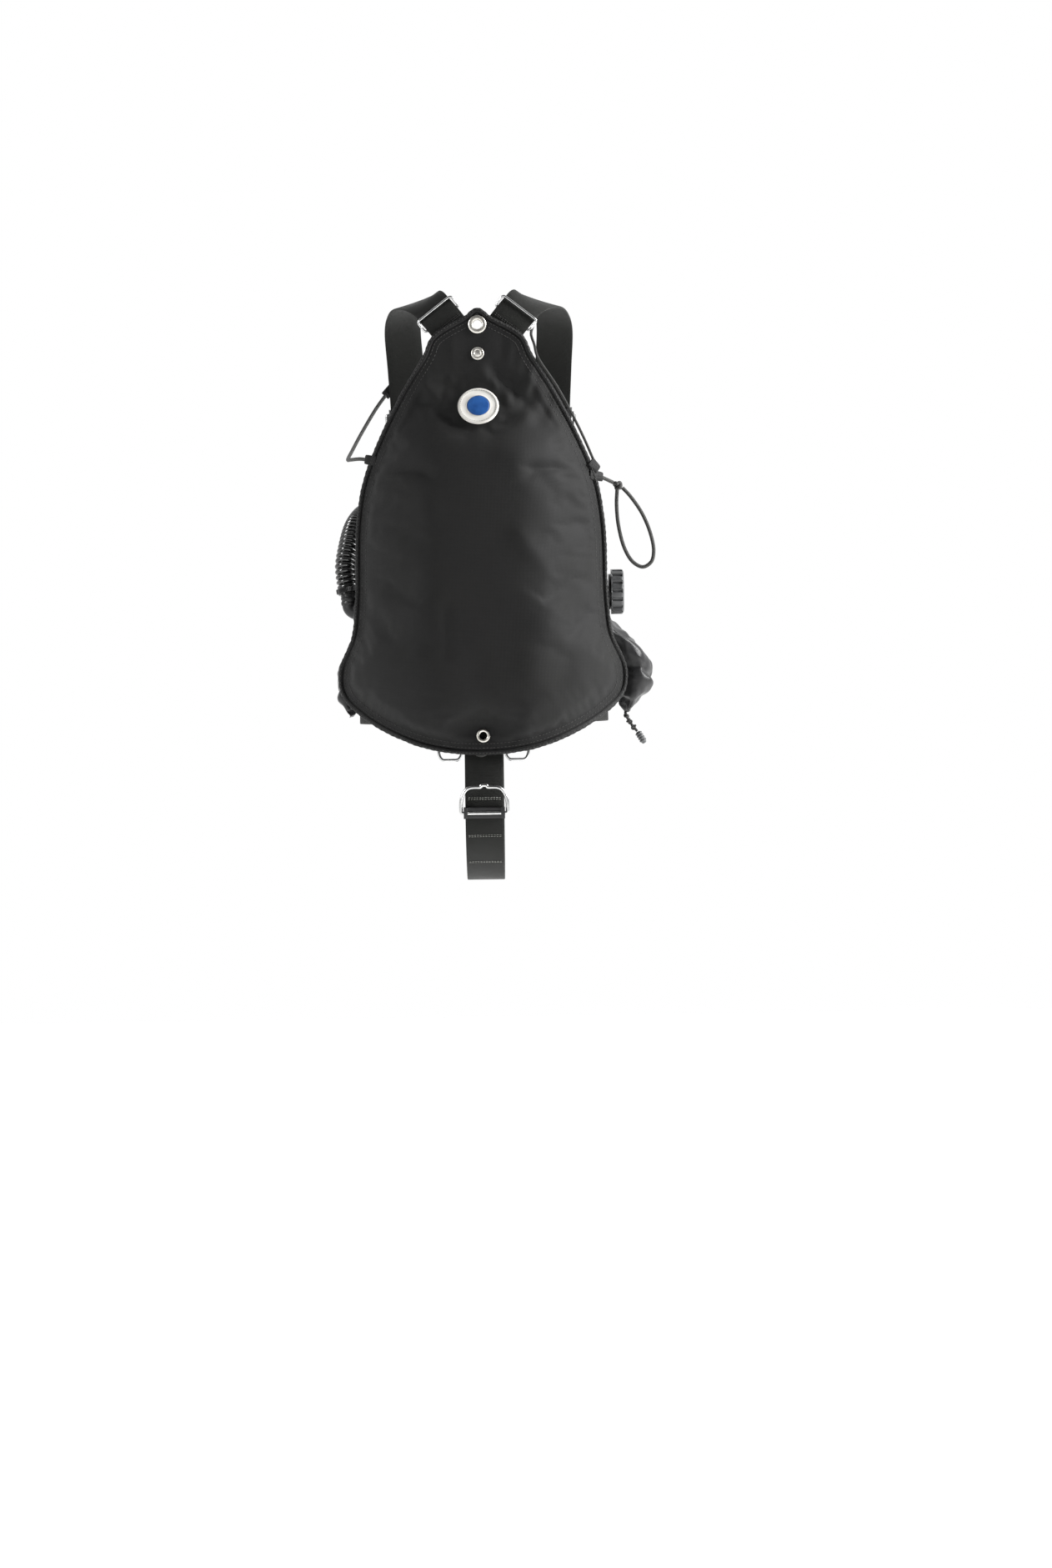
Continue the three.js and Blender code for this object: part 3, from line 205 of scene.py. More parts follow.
def loft(rings, closed=False, around=None, along=None):
    """Points, faces and texture coordinates of a skin through rings of points."""
    count = len(rings[0])
    points = [p for ring in rings for p in ring]
    around = around or [i / count for i in range(count + 1)]
    along = along or list(range(len(rings) + 1))
    faces, coordinates = [], []
    for i in range(len(rings) if closed else len(rings) - 1):
        a, b = i * count, (i + 1) % len(rings) * count
        for j in range(count):
            k = (j + 1) % count
            faces.append((a + j, a + k, b + k, b + j))
            u0, u1, v0, v1 = around[j], around[j + 1], along[i], along[i + 1]
            coordinates.append(((u0, v0), (u1, v0), (u1, v1), (u0, v1)))
    if not closed:
        last = (len(rings) - 1) * count
        for start, order in ((0, range(count - 1, -1, -1)), (last, range(count))):
            faces.append(tuple(start + j for j in order))
            coordinates.append(tuple((around[j], 0.0) for j in order))
    return points, faces, coordinates


def piece(name, shape, body, material, stands_for=(), smooth=40):
    """A mesh object from points in millimetres, riding on a body."""
    points, faces, coordinates = shape
    mesh = bpy.data.meshes.new(name)
    mesh.from_pydata([tuple(Vector(p) * MM) for p in points], [], faces)
    layer = mesh.uv_layers.new(name="surface")
    flat = [value * MM for face in coordinates for corner in face for value in corner]
    layer.data.foreach_set("uv", flat)
    made = bmesh.new()
    made.from_mesh(mesh)
    bmesh.ops.recalc_face_normals(made, faces=made.faces)
    made.to_mesh(mesh)
    made.free()
    mesh.materials.append(material)
    for polygon in mesh.polygons:
        polygon.use_smooth = True
    if smooth < 180:
        mesh.set_sharp_from_angle(angle=math.radians(smooth))
    thing = bpy.data.objects.new(name, mesh)
    SCENE.collection.objects.link(thing)
    return settle(thing, body, stands_for)


def settle(thing, body, stands_for=()):
    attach(thing, body)
    if stands_for:
        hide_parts(*stands_for)
    return thing


def joined(*shapes):
    """Several shapes as one."""
    points, faces, coordinates = [], [], []
    for p, f, c in shapes:
        base = len(points)
        points += list(p)
        faces += [tuple(base + i for i in face) for face in f]
        coordinates += c
    return points, faces, coordinates


def tube(line, radius, sides=12, closed=False, distances=None):
    """A round tube along points; the radius is a number or one for each point."""
    radii = radius if isinstance(radius, (list, tuple)) else [radius] * len(line)
    rings = []
    for p, r, (_, side, up) in zip(line, radii, carried(line, closed)):
        angles = [j / sides * math.tau for j in range(sides)]
        rings.append([p + (side * math.cos(a) + up * math.sin(a)) * r for a in angles])
    if distances is None:
        distances = [0.0]
        for a, b in zip(line, line[1:]):
            distances.append(distances[-1] + (b - a).length)
    distances = list(distances) + [distances[-1] + (line[0] - line[-1]).length]
    girth = math.tau * max(radii)
    return loft(rings, closed, [j / sides * girth for j in range(sides + 1)], distances)


def frame_at(point, across, along, out):
    """A frame whose X, Y and Z are the three directions."""
    turn = Matrix((across, along, out)).transposed().to_4x4()
    return Matrix.Translation(point) @ turn


def eased_corners(corners, radius, steps=5):
    """A closed outline with each corner rounded, by one radius or one for each corner."""
    radii = radius if isinstance(radius, (list, tuple)) else [radius] * len(corners)
    flat = [Vector(c).to_3d() for c in corners]
    outline = []
    for i, corner in enumerate(flat):
        before = flat[i - 1] - corner
        after = flat[(i + 1) % len(flat)] - corner
        half = before.angle(after) / 2
        reach = min(radii[i] / math.tan(half), before.length * 0.49, after.length * 0.49)
        start = corner + before.normalized() * reach
        end = corner + after.normalized() * reach
        for k in range(steps + 1):
            t = k / steps
            outline.append(start.lerp(corner, t).lerp(corner.lerp(end, t), t))
    return outline


def wire(corners, radius, bend, place, sides=14):
    """A closed ring of round wire in the XY plane of a frame."""
    line = [place @ p for p in eased_corners(corners, bend)]
    filled = []
    for a, b in zip(line, line[1:] + line[:1]):
        count = max(1, round((b - a).length / 4))
        filled += [a.lerp(b, k / count) for k in range(count)]
    return tube(filled, radius, sides, closed=True)


def turned(profile, place, segments=64, ease=0.35, wave=None):
    """A turned body from (radius, height) corners about a frame's Z, with eased edges.

    wave gives how much each angle adds to the radius, where the edge is scalloped."""
    rows = []
    for i, (r, h) in enumerate(profile):
        if i in (0, len(profile) - 1) or ease == 0:
            rows.append((r, h))
            continue
        here = Vector((r, h))
        for other in (Vector(profile[i - 1]), Vector(profile[i + 1])):
            away = other - here
            step = min(ease, away.length * 0.4)
            rows.append(tuple(here + away.normalized() * step))
    rings = []
    for k in range(segments):
        angle = k / segments * math.tau
        ring = []
        for r, h in rows:
            grown = r + (wave(angle, r, h) if wave else 0)
            ring.append(place @ Vector((grown * math.cos(angle), grown * math.sin(angle), h)))
        rings.append(ring)
    points = [p for ring in rings for p in ring]
    count = len(rows)
    faces, coordinates = [], []
    for k in range(segments):
        a, b = k * count, (k + 1) % segments * count
        for j in range(count - 1):
            if rows[j][0] < 1e-6:
                quad = (a + j, a + j + 1, b + j + 1)
            elif rows[j + 1][0] < 1e-6:
                quad = (a + j, a + j + 1, b + j)
            else:
                quad = (a + j, a + j + 1, b + j + 1, b + j)
            faces.append(quad)
            coordinates.append(tuple((k / segments * 50, rows[i % count][1]) for i in quad))
    return weld((points, faces, coordinates))


def weld(shape):
    """The same shape with points that coincide made one."""
    points, faces, coordinates = shape
    index, kept, to = {}, [], []
    for p in points:
        key = (round(p[0], 4), round(p[1], 4), round(p[2], 4))
        if key not in index:
            index[key] = len(kept)
            kept.append(p)
        to.append(index[key])
    new_faces, new_coordinates = [], []
    for face, corners in zip(faces, coordinates):
        mapped = [to[i] for i in face]
        pairs = [(m, c) for n, (m, c) in enumerate(zip(mapped, corners)) if m != mapped[n - 1]]
        if len(pairs) > 2:
            new_faces.append(tuple(m for m, _ in pairs))
            new_coordinates.append(tuple(c for _, c in pairs))
    return kept, new_faces, new_coordinates


# ------------------------------------------------------------------ materials


def colour(code):
    """A linear colour from an sRGB hex code."""
    values = [int(code[i : i + 2], 16) / 255 for i in (1, 3, 5)]
    linear = [v / 12.92 if v <= 0.04045 else ((v + 0.055) / 1.055) ** 2.4 for v in values]
    return (*linear, 1.0)


def put(tree, kind, sockets=(), **settings):
    """Adds a node. Its sockets take values or other nodes' outputs."""
    made = tree.nodes.new("ShaderNode" + kind)
    for name, value in settings.items():
        setattr(made, name, value)
    for name, value in dict(sockets).items():
        if isinstance(value, bpy.types.NodeSocket):
            tree.links.new(value, made.inputs[name])
        else:
            made.inputs[name].default_value = value
    return made


def surface(name, **values):
    """A new material: its node tree, its shader with fixed values set, and its output."""
    material = bpy.data.materials.new(name)
    material.use_nodes = True
    tree = material.node_tree
    tree.nodes.clear()
    shader = put(tree, "BsdfPrincipled", {k.replace("_", " "): v for k, v in values.items()})
    output = put(tree, "OutputMaterial")
    tree.links.new(shader.outputs[0], output.inputs[0])
    return material, tree, shader


def threads(pitch):
    """A wave texture's scale for threads that far apart, in millimetres."""
    return math.tau / 20 / (pitch * MM)


def grain(size):
    """A noise texture's scale for grains of that size, in millimetres."""
    return 1 / (size * MM)


def shade(tree, factor, *stops):
    """Colours by a factor: (place, hex code) for each stop."""
    ramp = put(tree, "ValToRGB", {"Fac": factor})
    band = ramp.color_ramp
    while len(band.elements) < len(stops):
        band.elements.new(0.5)
    for element, (place, code) in zip(band.elements, stops):
        element.position = place
        element.color = colour(code)
    return ramp.outputs[0]


def woven(name, pitch, relief, dark, light, roughness, sheen, mottle=70, rib=1.0):
    """Cloth of crossed threads, on the piece's own surface coordinates."""
    material, tree, shader = surface(
        name,
        Specular_IOR_Level=0.22,
        Sheen_Weight=sheen,
        Sheen_Roughness=0.45,
    )
    where = put(tree, "UVMap").outputs[0]
    body = put(tree, "TexCoord").outputs["Object"]
    warp = put(tree, "TexWave", {"Vector": where, "Scale": threads(pitch)}, bands_direction="X")
    weft = put(
        tree,
        "TexWave",
        {"Vector": where, "Scale": threads(pitch * rib)},
        bands_direction="Y",
    )
    cross = put(tree, "Math", {0: warp.outputs[1], 1: weft.outputs[1]}, operation="MULTIPLY")
    yarn = put(tree, "TexNoise", {"Vector": body, "Scale": grain(1.5), "Detail": 3.0})
    patch = put(tree, "TexNoise", {"Vector": body, "Scale": grain(mottle), "Detail": 5.0})
    uneven = put(
        tree,
        "Math",
        {0: yarn.outputs[0], 1: 0.35, 2: cross.outputs[0]},
        operation="MULTIPLY_ADD",
    )
    blend = put(tree, "Math", {0: patch.outputs[0], 1: 0.75}, operation="MULTIPLY")
    tone = put(
        tree,
        "Math",
        {0: uneven.outputs[0], 1: 0.3, 2: blend.outputs[0]},
        operation="MULTIPLY_ADD",
    )
    tree.links.new(
        shade(tree, tone.outputs[0], (0.25, dark), (0.85, light)), shader.inputs["Base Color"]
    )
    worn = put(
        tree,
        "MapRange",
        {0: patch.outputs[0], 1: 0.3, 2: 0.7, 3: roughness - 0.07, 4: roughness + 0.08},
    )
    tree.links.new(worn.outputs[0], shader.inputs["Roughness"])
    bump = put(
        tree,
        "Bump",
        {"Strength": 0.55, "Distance": relief * MM, "Height": uneven.outputs[0]},
    )
    tree.links.new(bump.outputs[0], shader.inputs["Normal"])
    return material


def ballistic_nylon():
    """Ballistic nylon, plain woven from thick yarn: matte, near black, with a fine square
    grid. Threads are 1 mm apart and drawn 1.4 mm apart so that they show."""
    return woven("ballistic_nylon_woven", 1.4, 0.18, "#111112", "#1f1f1e", 0.74, 0.04)


def coated_nylon():
    """Packcloth nylon with a polyurethane coating, crumpled: a tighter weave with more
    shine on its folds than the back panel has."""
    return woven("coated_packcloth_woven", 1.1, 0.1, "#1c1c1e", "#343434", 0.3, 0.05, 30)


def harness_webbing():
    """Nylon harness webbing, woven on a narrow loom: ribs straight across, 1.7 mm apart,
    and fine lengthwise threads."""
    return woven("nylon_webbing_woven", 1.2, 0.32, "#0e0f0d", "#1b1c19", 0.66, 0.08, 40, 1.4)


def binding_tape():
    """Grosgrain tape: close ribs across a soft, slightly shiny band."""
    return woven("grosgrain_tape_woven", 1.0, 0.2, "#101010", "#1f1f1f", 0.6, 0.08, 30, 1.2)


def braided(name, dark, light, pitch):
    """Braided sheath: two sets of strands crossing on the slant round an elastic core."""
    material, tree, shader = surface(name, Specular_IOR_Level=0.3, Sheen_Weight=0.1)
    where = put(tree, "UVMap").outputs[0]
    strands = [
        put(
            tree,
            "TexWave",
            {
                "Vector": put(
                    tree, "Mapping", {"Vector": where, "Rotation": (0, 0, math.radians(way))}
                ).outputs[0],
                "Scale": threads(pitch),
            },
        ).outputs[1]
        for way in (38, -38)
    ]
    cross = put(tree, "Math", {0: strands[0], 1: strands[1]}, operation="MAXIMUM")
    tree.links.new(
        shade(tree, cross.outputs[0], (0.3, dark), (1.0, light)), shader.inputs["Base Color"]
    )
    shader.inputs["Roughness"].default_value = 0.58
    bump = put(
        tree, "Bump", {"Strength": 0.7, "Distance": 0.4 * MM, "Height": cross.outputs[0]}
    )
    tree.links.new(bump.outputs[0], shader.inputs["Normal"])
    return material


def metal(name, dark, light, rough, streak):
    """A metal surface: fine polishing marks, and roughness that wanders with handling."""
    material, tree, shader = surface(name, Metallic=1.0)
    where = put(tree, "TexCoord").outputs["Object"]
    stretched = put(tree, "Mapping", {"Vector": where, "Scale": streak}).outputs[0]
    marks = put(tree, "TexNoise", {"Vector": stretched, "Scale": grain(0.6), "Detail": 4.0})
    handled = put(tree, "TexNoise", {"Vector": where, "Scale": grain(9), "Detail": 3.0})
    tree.links.new(
        shade(tree, handled.outputs[0], (0.3, dark), (0.7, light)), shader.inputs["Base Color"]
    )
    spread = put(
        tree, "MapRange", {0: marks.outputs[0], 1: 0.25, 2: 0.75, 3: rough * 0.7, 4: rough * 1.4}
    )
    tree.links.new(spread.outputs[0], shader.inputs["Roughness"])
    bump = put(
        tree, "Bump", {"Strength": 0.25, "Distance": 0.05 * MM, "Height": marks.outputs[0]}
    )
    tree.links.new(bump.outputs[0], shader.inputs["Normal"])
    return material


def polished_steel():
    """Stainless steel wire, bent and electropolished: bright, with a soft broken gloss."""
    return metal("stainless_wire_electropolished", "#b4b5b6", "#d2d2d1", 0.22, (1, 1, 1))


def brushed_steel():
    """Stainless sheet, stamped and brushed one way: grey, with fine level streaks."""
    return metal("stainless_sheet_brushed", "#9b9d9e", "#a8aaab", 0.34, (0.06, 1, 1))


def plated_brass():
    """Brass rolled to shape and nickel plated: bright and slightly warm."""
    return metal("nickel_plated_brass_rolled", "#c6c3bb", "#efece6", 0.36, (1, 1, 1))


def moulded(name, dark, light, roughness, pebble, relief, specular=0.4):
    """A moulded surface: a fine pebbled mould texture and faint uneven tone."""
    material, tree, shader = surface(name, Specular_IOR_Level=specular)
    where = put(tree, "TexCoord").outputs["Object"]
    fine = put(tree, "TexNoise", {"Vector": where, "Scale": grain(pebble), "Detail": 2.0})
    wide = put(tree, "TexNoise", {"Vector": where, "Scale": grain(14), "Detail": 4.0})
    tree.links.new(
        shade(tree, wide.outputs[0], (0.3, dark), (0.75, light)), shader.inputs["Base Color"]
    )
    spread = put(
        tree,
        "MapRange",
        {0: wide.outputs[0], 1: 0.3, 2: 0.7, 3: roughness - 0.06, 4: roughness + 0.08},
    )
    tree.links.new(spread.outputs[0], shader.inputs["Roughness"])
    bump = put(
        tree, "Bump", {"Strength": 0.4, "Distance": relief * MM, "Height": fine.outputs[0]}
    )
    tree.links.new(bump.outputs[0], shader.inputs["Normal"])
    return material


NYLON = ballistic_nylon()
PACKCLOTH = coated_nylon()
WEBBING = harness_webbing()
TAPE = binding_tape()
BUNGEE = braided("shock_cord_braided", "#20201f", "#484846", 1.3)
LINE = braided("accessory_line_braided", "#141414", "#2e2e2c", 0.9)
STEEL = polished_steel()
PLATE = brushed_steel()
PLATED = plated_brass()
# Acetal, injection moulded: hard, black, with a satin mould texture.
ACETAL = moulded("acetal_injection_moulded", "#121213", "#1f1f20", 0.38, 0.5, 0.05)
# Glass-filled nylon, moulded: greyer than the acetal, with a little more shine.
FILLED = moulded("glass_filled_nylon_moulded", "#3a3b3c", "#5c5d5e", 0.34, 0.7, 0.08, 0.5)
# EPDM rubber, moulded: black with a slight bloom and a soft gloss on its ribs.
EPDM = moulded("epdm_rubber_moulded", "#0b0b0b", "#171717", 0.19, 0.8, 0.06, 0.8)
# Silicone, moulded: soft and a little milky.
SILICONE = moulded("silicone_moulded", "#1c1c1d", "#2c2c2d", 0.5, 0.6, 0.04)
# Soft PVC, moulded in two colours: smooth and plain.
WHITE_PVC = moulded("white_pvc_moulded", "#d9d6d0", "#efede8", 0.42, 0.9, 0.05)
BLUE_PVC = moulded("blue_pvc_moulded", "#1b4684", "#2a62ab", 0.4, 0.9, 0.05)
# Bonded nylon thread, twisted: a dry dark grey line.
THREAD = moulded("bonded_thread_twisted", "#3a3a39", "#4c4c4a", 0.6, 0.3, 0.05)
PALE_THREAD = moulded("bonded_thread_grey", "#80817c", "#9b9c96", 0.6, 0.3, 0.05)

# ------------------------------------------------------------------ free cords

BUNGEE_TAIL = [(159.5, 38, 297), (167, 43, 294), (176.5, 49, 290)]
BUNGEE_LOOP = [
    (182, 53, 280.5),
    (181, 54, 262),
    (183, 55, 234),
    (191, 55, 202),
    (202, 55, 184),
    (215, 55, 177.5),
    (226, 55, 184),
    (229.5, 55, 198),
    (226, 54, 220),
    (215, 53, 248),
    (199, 52, 272),
    (189, 52, 283),
]
PULL_CORD = [(190, 118, -13), (192, 119, -20), (198, 121, -30), (206, 122, -40)]
TOGGLE = ((206.4, 122.1, -40.5), (216, 123, -56), 5.0)
KNOT_AT = Vector((183.3, 52, 286.0))


def cord_piece(name, points, radius, material, body="root", stands_for=(), step=1.5):
    """A braided cord along points, with the line and the length that it really has."""
    rows = spaced(centripetal(points), step)
    line = [p for p, _ in rows]
    shape = tube(line, radius, 14, distances=[d for _, d in rows])
    made = piece(name, shape, body, material, stands_for, 60)
    return made, [tuple(p * MM) for p in line], rows[-1][1] * MM


def knot(name, centre, radius, size, body, material, tilt=(0, 0, 0), stands_for=()):
    """An overhand knot pulled tight: a trefoil of the cord itself."""
    turn = Matrix.Rotation(tilt[0], 3, "X") @ Matrix.Rotation(tilt[1], 3, "Y")
    turn = turn @ Matrix.Rotation(tilt[2], 3, "Z")
    line = []
    for i in range(72):
        t = i / 72 * math.tau
        lobed = Vector(
            (
                math.sin(t) + 2 * math.sin(2 * t),
                math.cos(t) - 2 * math.cos(2 * t),
                -1.6 * math.sin(3 * t),
            )
        )
        line.append(Vector(centre) + turn @ lobed * (size / 3))
    return piece(name, tube(line, radius, 10, closed=True), body, material, stands_for, 60)


def free_cords():
    """The loose bungee loop at the ribs, and the dump valve's pull cord with its toggle."""
    tail, _, _ = cord_piece(
        "bungee_tail_braid", BUNGEE_TAIL, BUNGEE_R, BUNGEE, stands_for=["bungee_tail"]
    )
    tied = knot(
        "bungee_knot_tied", KNOT_AT, 2.3, 5.4, "root", BUNGEE, (0.6, 0.4, 0.2), ["bungee_knot"]
    )
    loop, path, length = cord_piece(
        "bungee_loop_braid", BUNGEE_LOOP, BUNGEE_R, BUNGEE, stands_for=["bungee_loop"]
    )
    pull, path, length = cord_piece(
        "pull_cord_braid", PULL_CORD, THIN_R, LINE, "dump_pull", ["pull_cord"], 0.8
    )
    route = centripetal(PULL_CORD)
    beads = [
        knot(f"pull_cord_knot_{i + 1}", route(share), 1.5, 3.0, "dump_pull", LINE, (i * 0.9, 0.5, i))
        for i, share in enumerate((0.3, 0.55, 0.8))
    ]
    foot, tip, radius = Vector(TOGGLE[0]), Vector(TOGGLE[1]), TOGGLE[2]
    along = (tip - foot).normalized()
    side = along.cross(Vector((0, 1, 0))).normalized()
    place = frame_at(foot, side, along.cross(side), along)
    length_mm = (tip - foot).length
    grip = [(0, 0.3), (radius * 0.5, 0.3), (radius * 0.62, 1.2)]
    for k in range(4):
        base = 2.0 + k * 3.6
        grip += [(radius * 0.95, base), (radius, base + 1.2), (radius * 0.72, base + 2.6)]
    grip += [(radius * 0.6, length_mm - 0.6), (radius * 0.35, length_mm), (0, length_mm)]
    toggle = piece(
        "pull_toggle_grip",
        turned(grip, place, 32, 0.3),
        "dump_pull",
        FILLED,
        ["pull_toggle"],
    )


free_cords()

# ------------------------------------------------------------------ wing

HALF_OUTLINE = [
    (0, WING_TOP),
    (13, WING_TOP - 9),
    (56, WING_TOP - 35),
    (67, WING_TOP - 58),
    (95, WING_TOP - 103),
    (127, WING_TOP - 163),
    (150, WING_TOP - 218),
    (160, WING_TOP - 275),
    (163, 140),
    (169, 88),
    (187, 46),
    (184, 14),
    (160, -12),
    (119, -38),
    (66, WING_BOTTOM + 7),
    (0, WING_BOTTOM),
]
OUTLINE = centripetal(
    [(x, 0, z) for x, z in HALF_OUTLINE] + [(-x, 0, z) for x, z in HALF_OUTLINE[-2:0:-1]],
    closed=True,
)
RIM_POINTS = 288
RIM = [OUTLINE(i / RIM_POINTS) for i in range(RIM_POINTS)]


def wrap(x):
    """How far the wing has curled round the ribs at a distance from the spine."""
    return 0.0049 * max(0.0, abs(x) - 50) ** 2


def smoothstep(low, high, value):
    t = min(max((value - low) / (high - low), 0.0), 1.0)
    return t * t * (3 - 2 * t)


def radial(x, z):
    """How far out a point of the wing lies: 0 at its centre, 1 on its outline."""
    dz = z - WING_MIDDLE
    if abs(x) + abs(dz) < 1e-6:
        return 0.0
    angle = math.atan2(x, dz)
    i = RIM_LOOKUP[int((angle + math.pi) / math.tau * 720) % 720]
    for k in (0, 1, -1, 2, -2, 3, -3, 4, -4):
        a, b = RIM[(i + k) % RIM_POINTS], RIM[(i + k + 1) % RIM_POINTS]
        ax, az, bx, bz = a.x, a.z - WING_MIDDLE, b.x, b.z - WING_MIDDLE
        turn = ax * bz - az * bx
        near_b = (x * bz - dz * bx) / turn
        near_a = (ax * dz - az * x) / turn
        if near_a >= -1e-9 and near_b >= -1e-9:
            return near_a + near_b
    return 1.0


def rim_lookup():
    """The outline's stretch at each half degree round the wing's centre."""
    angles = [math.atan2(p.x, p.z - WING_MIDDLE) for p in RIM]
    found = []
    for k in range(720):
        want = (k + 0.5) / 720 * math.tau - math.pi
        gaps = [abs((a - want + math.pi) % math.tau - math.pi) for a in angles]
        found.append(min(range(RIM_POINTS), key=gaps.__getitem__))
    return found


RIM_LOOKUP = rim_lookup()


def fullness(share, z):
    """How full the wing is: none on the sewn flange, and none under the shoulder straps."""
    inside = min(1.0, share / FLANGE)
    return math.sqrt(max(0.0, 1 - inside**2.6)) * (
        1 - smoothstep(WING_TOP - 204, WING_TOP - 86, z)
    )


def from_low_eyelet(x, z):
    """How far a point is from the low eyelet's middle."""
    return math.hypot(x, z - LOW_EYELET[0])


# Soft folds in the back panel: from, to, half width and height (below zero is a hollow).
FOLDS = [
    ((20, 436), (80, 366), 9, -3.2),
    ((8, 428), (62, 372), 13, 2.4),
    ((44, 318), (128, 262), 26, 2.6),
    ((70, 300), (146, 214), 14, -2.2),
    ((52, 214), (96, 160), 16, 2.4),
    ((100, 166), (152, 158), 6, -1.6),
    ((96, 120), (66, 40), 26, 2.6),
    ((128, 120), (104, 22), 18, -2.2),
    ((60, -10), (128, 26), 14, 2.0),
    ((-45, 118), (-44, 62), 7, -1.6),
    ((-104, 250), (-120, 90), 22, -2.0),
    ((-84, 60), (-140, 10), 16, 1.8),
    ((-100, 330), (-70, 250), 20, 1.6),
    ((-10, 40), (14, -30), 18, -1.4),
]


def off_line(point, start, end):
    """How far a point is from the straight line between two others."""
    run = Vector((end[0] - start[0], end[1] - start[1]))
    away = Vector((point[0] - start[0], point[1] - start[1]))
    t = away.dot(run) / run.length_squared
    return (away - run * min(max(t, 0.0), 1.0)).length


def fold_height(x, z):
    """The folds' height above the smooth panel."""
    total = 0.0
    for start, end, half, height in FOLDS:
        distance = off_line((x, z), start, end)
        bow = Vector((x, z)).normalized().dot(Vector((0.6, 0.8))) * 2
        total += height * math.exp(-(((distance + bow) / half) ** 2))
    return total


def pucker(share, x, z):
    """Short gathers that run in from the seam, strongest along the wearer's right."""
    near = smoothstep(0.8, 0.93, share) * (1 - smoothstep(0.985, 1.0, share))
    angle = math.atan2(x, z - WING_MIDDLE)
    wave = noise.noise(Vector((angle * 13, 3.1, 0))) + 0.6 * noise.noise(Vector((angle * 31, 7, 0)))
    return near * wave * (PUCKER_RIGHT if x > 0 else PUCKER_LEFT)


def keep_still(x, z, share):
    """Where the panel is held: on the flange, and round the badge, screw and eyelets."""
    if share > FLANGE - 0.01 or z > 425 or from_low_eyelet(x, z) < LOW_EYELET[1] + 6:
        return True
    return math.hypot(x, z - BADGE_Z) < BADGE_R + 5


def wing_grid(spacing=6.5):
    """Evenly spread points inside the outline, and the triangles between them."""
    flat = [Vector((p.x, p.z)) for p in RIM[::2]]
    edges = [(i, (i + 1) % len(flat)) for i in range(len(flat))]
    rows = int((WING_TOP - WING_BOTTOM) / (spacing * 0.866))
    for row in range(1, rows):
        z = WING_BOTTOM + row * spacing * 0.866
        for column in range(-32, 33):
            x = (column + (0.5 if row % 2 else 0)) * spacing
            if radial(x, z) < 0.985 - 0.6 * spacing / 200:
                flat.append(Vector((x, z)))
    points, _, triangles, *_ = delaunay_2d_cdt(flat, edges, [], 1, 1e-5)
    return points, triangles, len(RIM[::2])


def swell(thing, held, cap, pressure, stretch, frames=20):
    """Lets cloth swell round the points that are held, then caps how far each one moved."""
    start = [v.co.copy() for v in thing.data.vertices]
    group = thing.vertex_groups.new(name="held")
    group.add(held, 1.0, "REPLACE")
    cloth = thing.modifiers.new("swell", "CLOTH")
    settings = cloth.settings
    settings.quality = 6
    settings.mass = 0.2
    settings.tension_stiffness = 18
    settings.compression_stiffness = 12
    settings.bending_stiffness = 0.35
    settings.use_pressure = True
    settings.uniform_pressure_force = pressure
    settings.shrink_min = -stretch
    settings.effector_weights.gravity = 0
    settings.vertex_group_mass = "held"
    cloth.collision_settings.use_collision = False
    cloth.point_cache.frame_start = 1
    cloth.point_cache.frame_end = frames
    for number in range(1, frames + 1):
        SCENE.frame_set(number)
    settled = thing.evaluated_get(bpy.context.evaluated_depsgraph_get()).to_mesh()
    moved = [v.co.copy() for v in settled.vertices]
    thing.to_mesh_clear()
    thing.modifiers.remove(cloth)
    for vertex, first, last in zip(thing.data.vertices, start, moved):
        step = last - first
        limit = cap * MM
        if step.length > 1e-9:
            step *= limit * math.tanh(step.length / limit) / step.length
        vertex.co = first + step
    thing.vertex_groups.clear()
    SCENE.frame_set(1)


def wing_bag():
    """The wing: a back panel full over the bladder and a flat one against the wearer."""
    points, triangles, rim_count = wing_grid()
    count = len(points)
    back, front = [], []
    for p in points:
        share = radial(p.x, p.y)
        pinched = smoothstep(LOW_EYELET[1] + 1, LOW_EYELET[1] + 34, from_low_eyelet(p.x, p.y))
        y = WING_BACK - DOME * fullness(share, p.y) * pinched + wrap(p.x)
        back.append((p.x, y, p.y))
        front.append((p.x, WING_FRONT + wrap(p.x), p.y))
    faces = [tuple(t) for t in triangles]
    faces += [tuple(count + i for i in reversed(t)) for t in triangles]
    faces += [
        (i, (i + 1) % rim_count, count + (i + 1) % rim_count, count + i)
        for i in range(rim_count)
    ]
    both = back + front
    coordinates = [tuple((both[i][0], both[i][2]) for i in face) for face in faces]
    wing = piece(
        "wing_bag",
        (both, faces, coordinates),
        "root",
        NYLON,
        ["wing_outer_panel", "wing_inner_panel", "air_bladder"],
        180,
    )
    held = [i for i, p in enumerate(points) if keep_still(p.x, p.y, radial(p.x, p.y))]
    swell(wing, held + list(range(count, 2 * count)), SWELL, 5.0, 0.035)
    for i, p in enumerate(points):
        share = radial(p.x, p.y)
        calm = smoothstep(LOW_EYELET[1] + 4, LOW_EYELET[1] + 20, from_low_eyelet(p.x, p.y))
        calm *= smoothstep(BADGE_R + 3, BADGE_R + 12, math.hypot(p.x, p.y - BADGE_Z))
        folded = (1 - smoothstep(0.9, 0.97, share)) * (1 - smoothstep(440, 470, p.y))
        rise = calm * (FOLD_DEPTH * fold_height(p.x, p.y) * folded + pucker(share, p.x, p.y))
        wing.data.vertices[i].co.y -= rise * MM
    subdivide(wing, 1)
    drill(wing, [(TOP_EYELET[0], TOP_EYELET[2] + 1.6), (LOW_EYELET[0], LOW_EYELET[2] + 1.3)])
    return wing


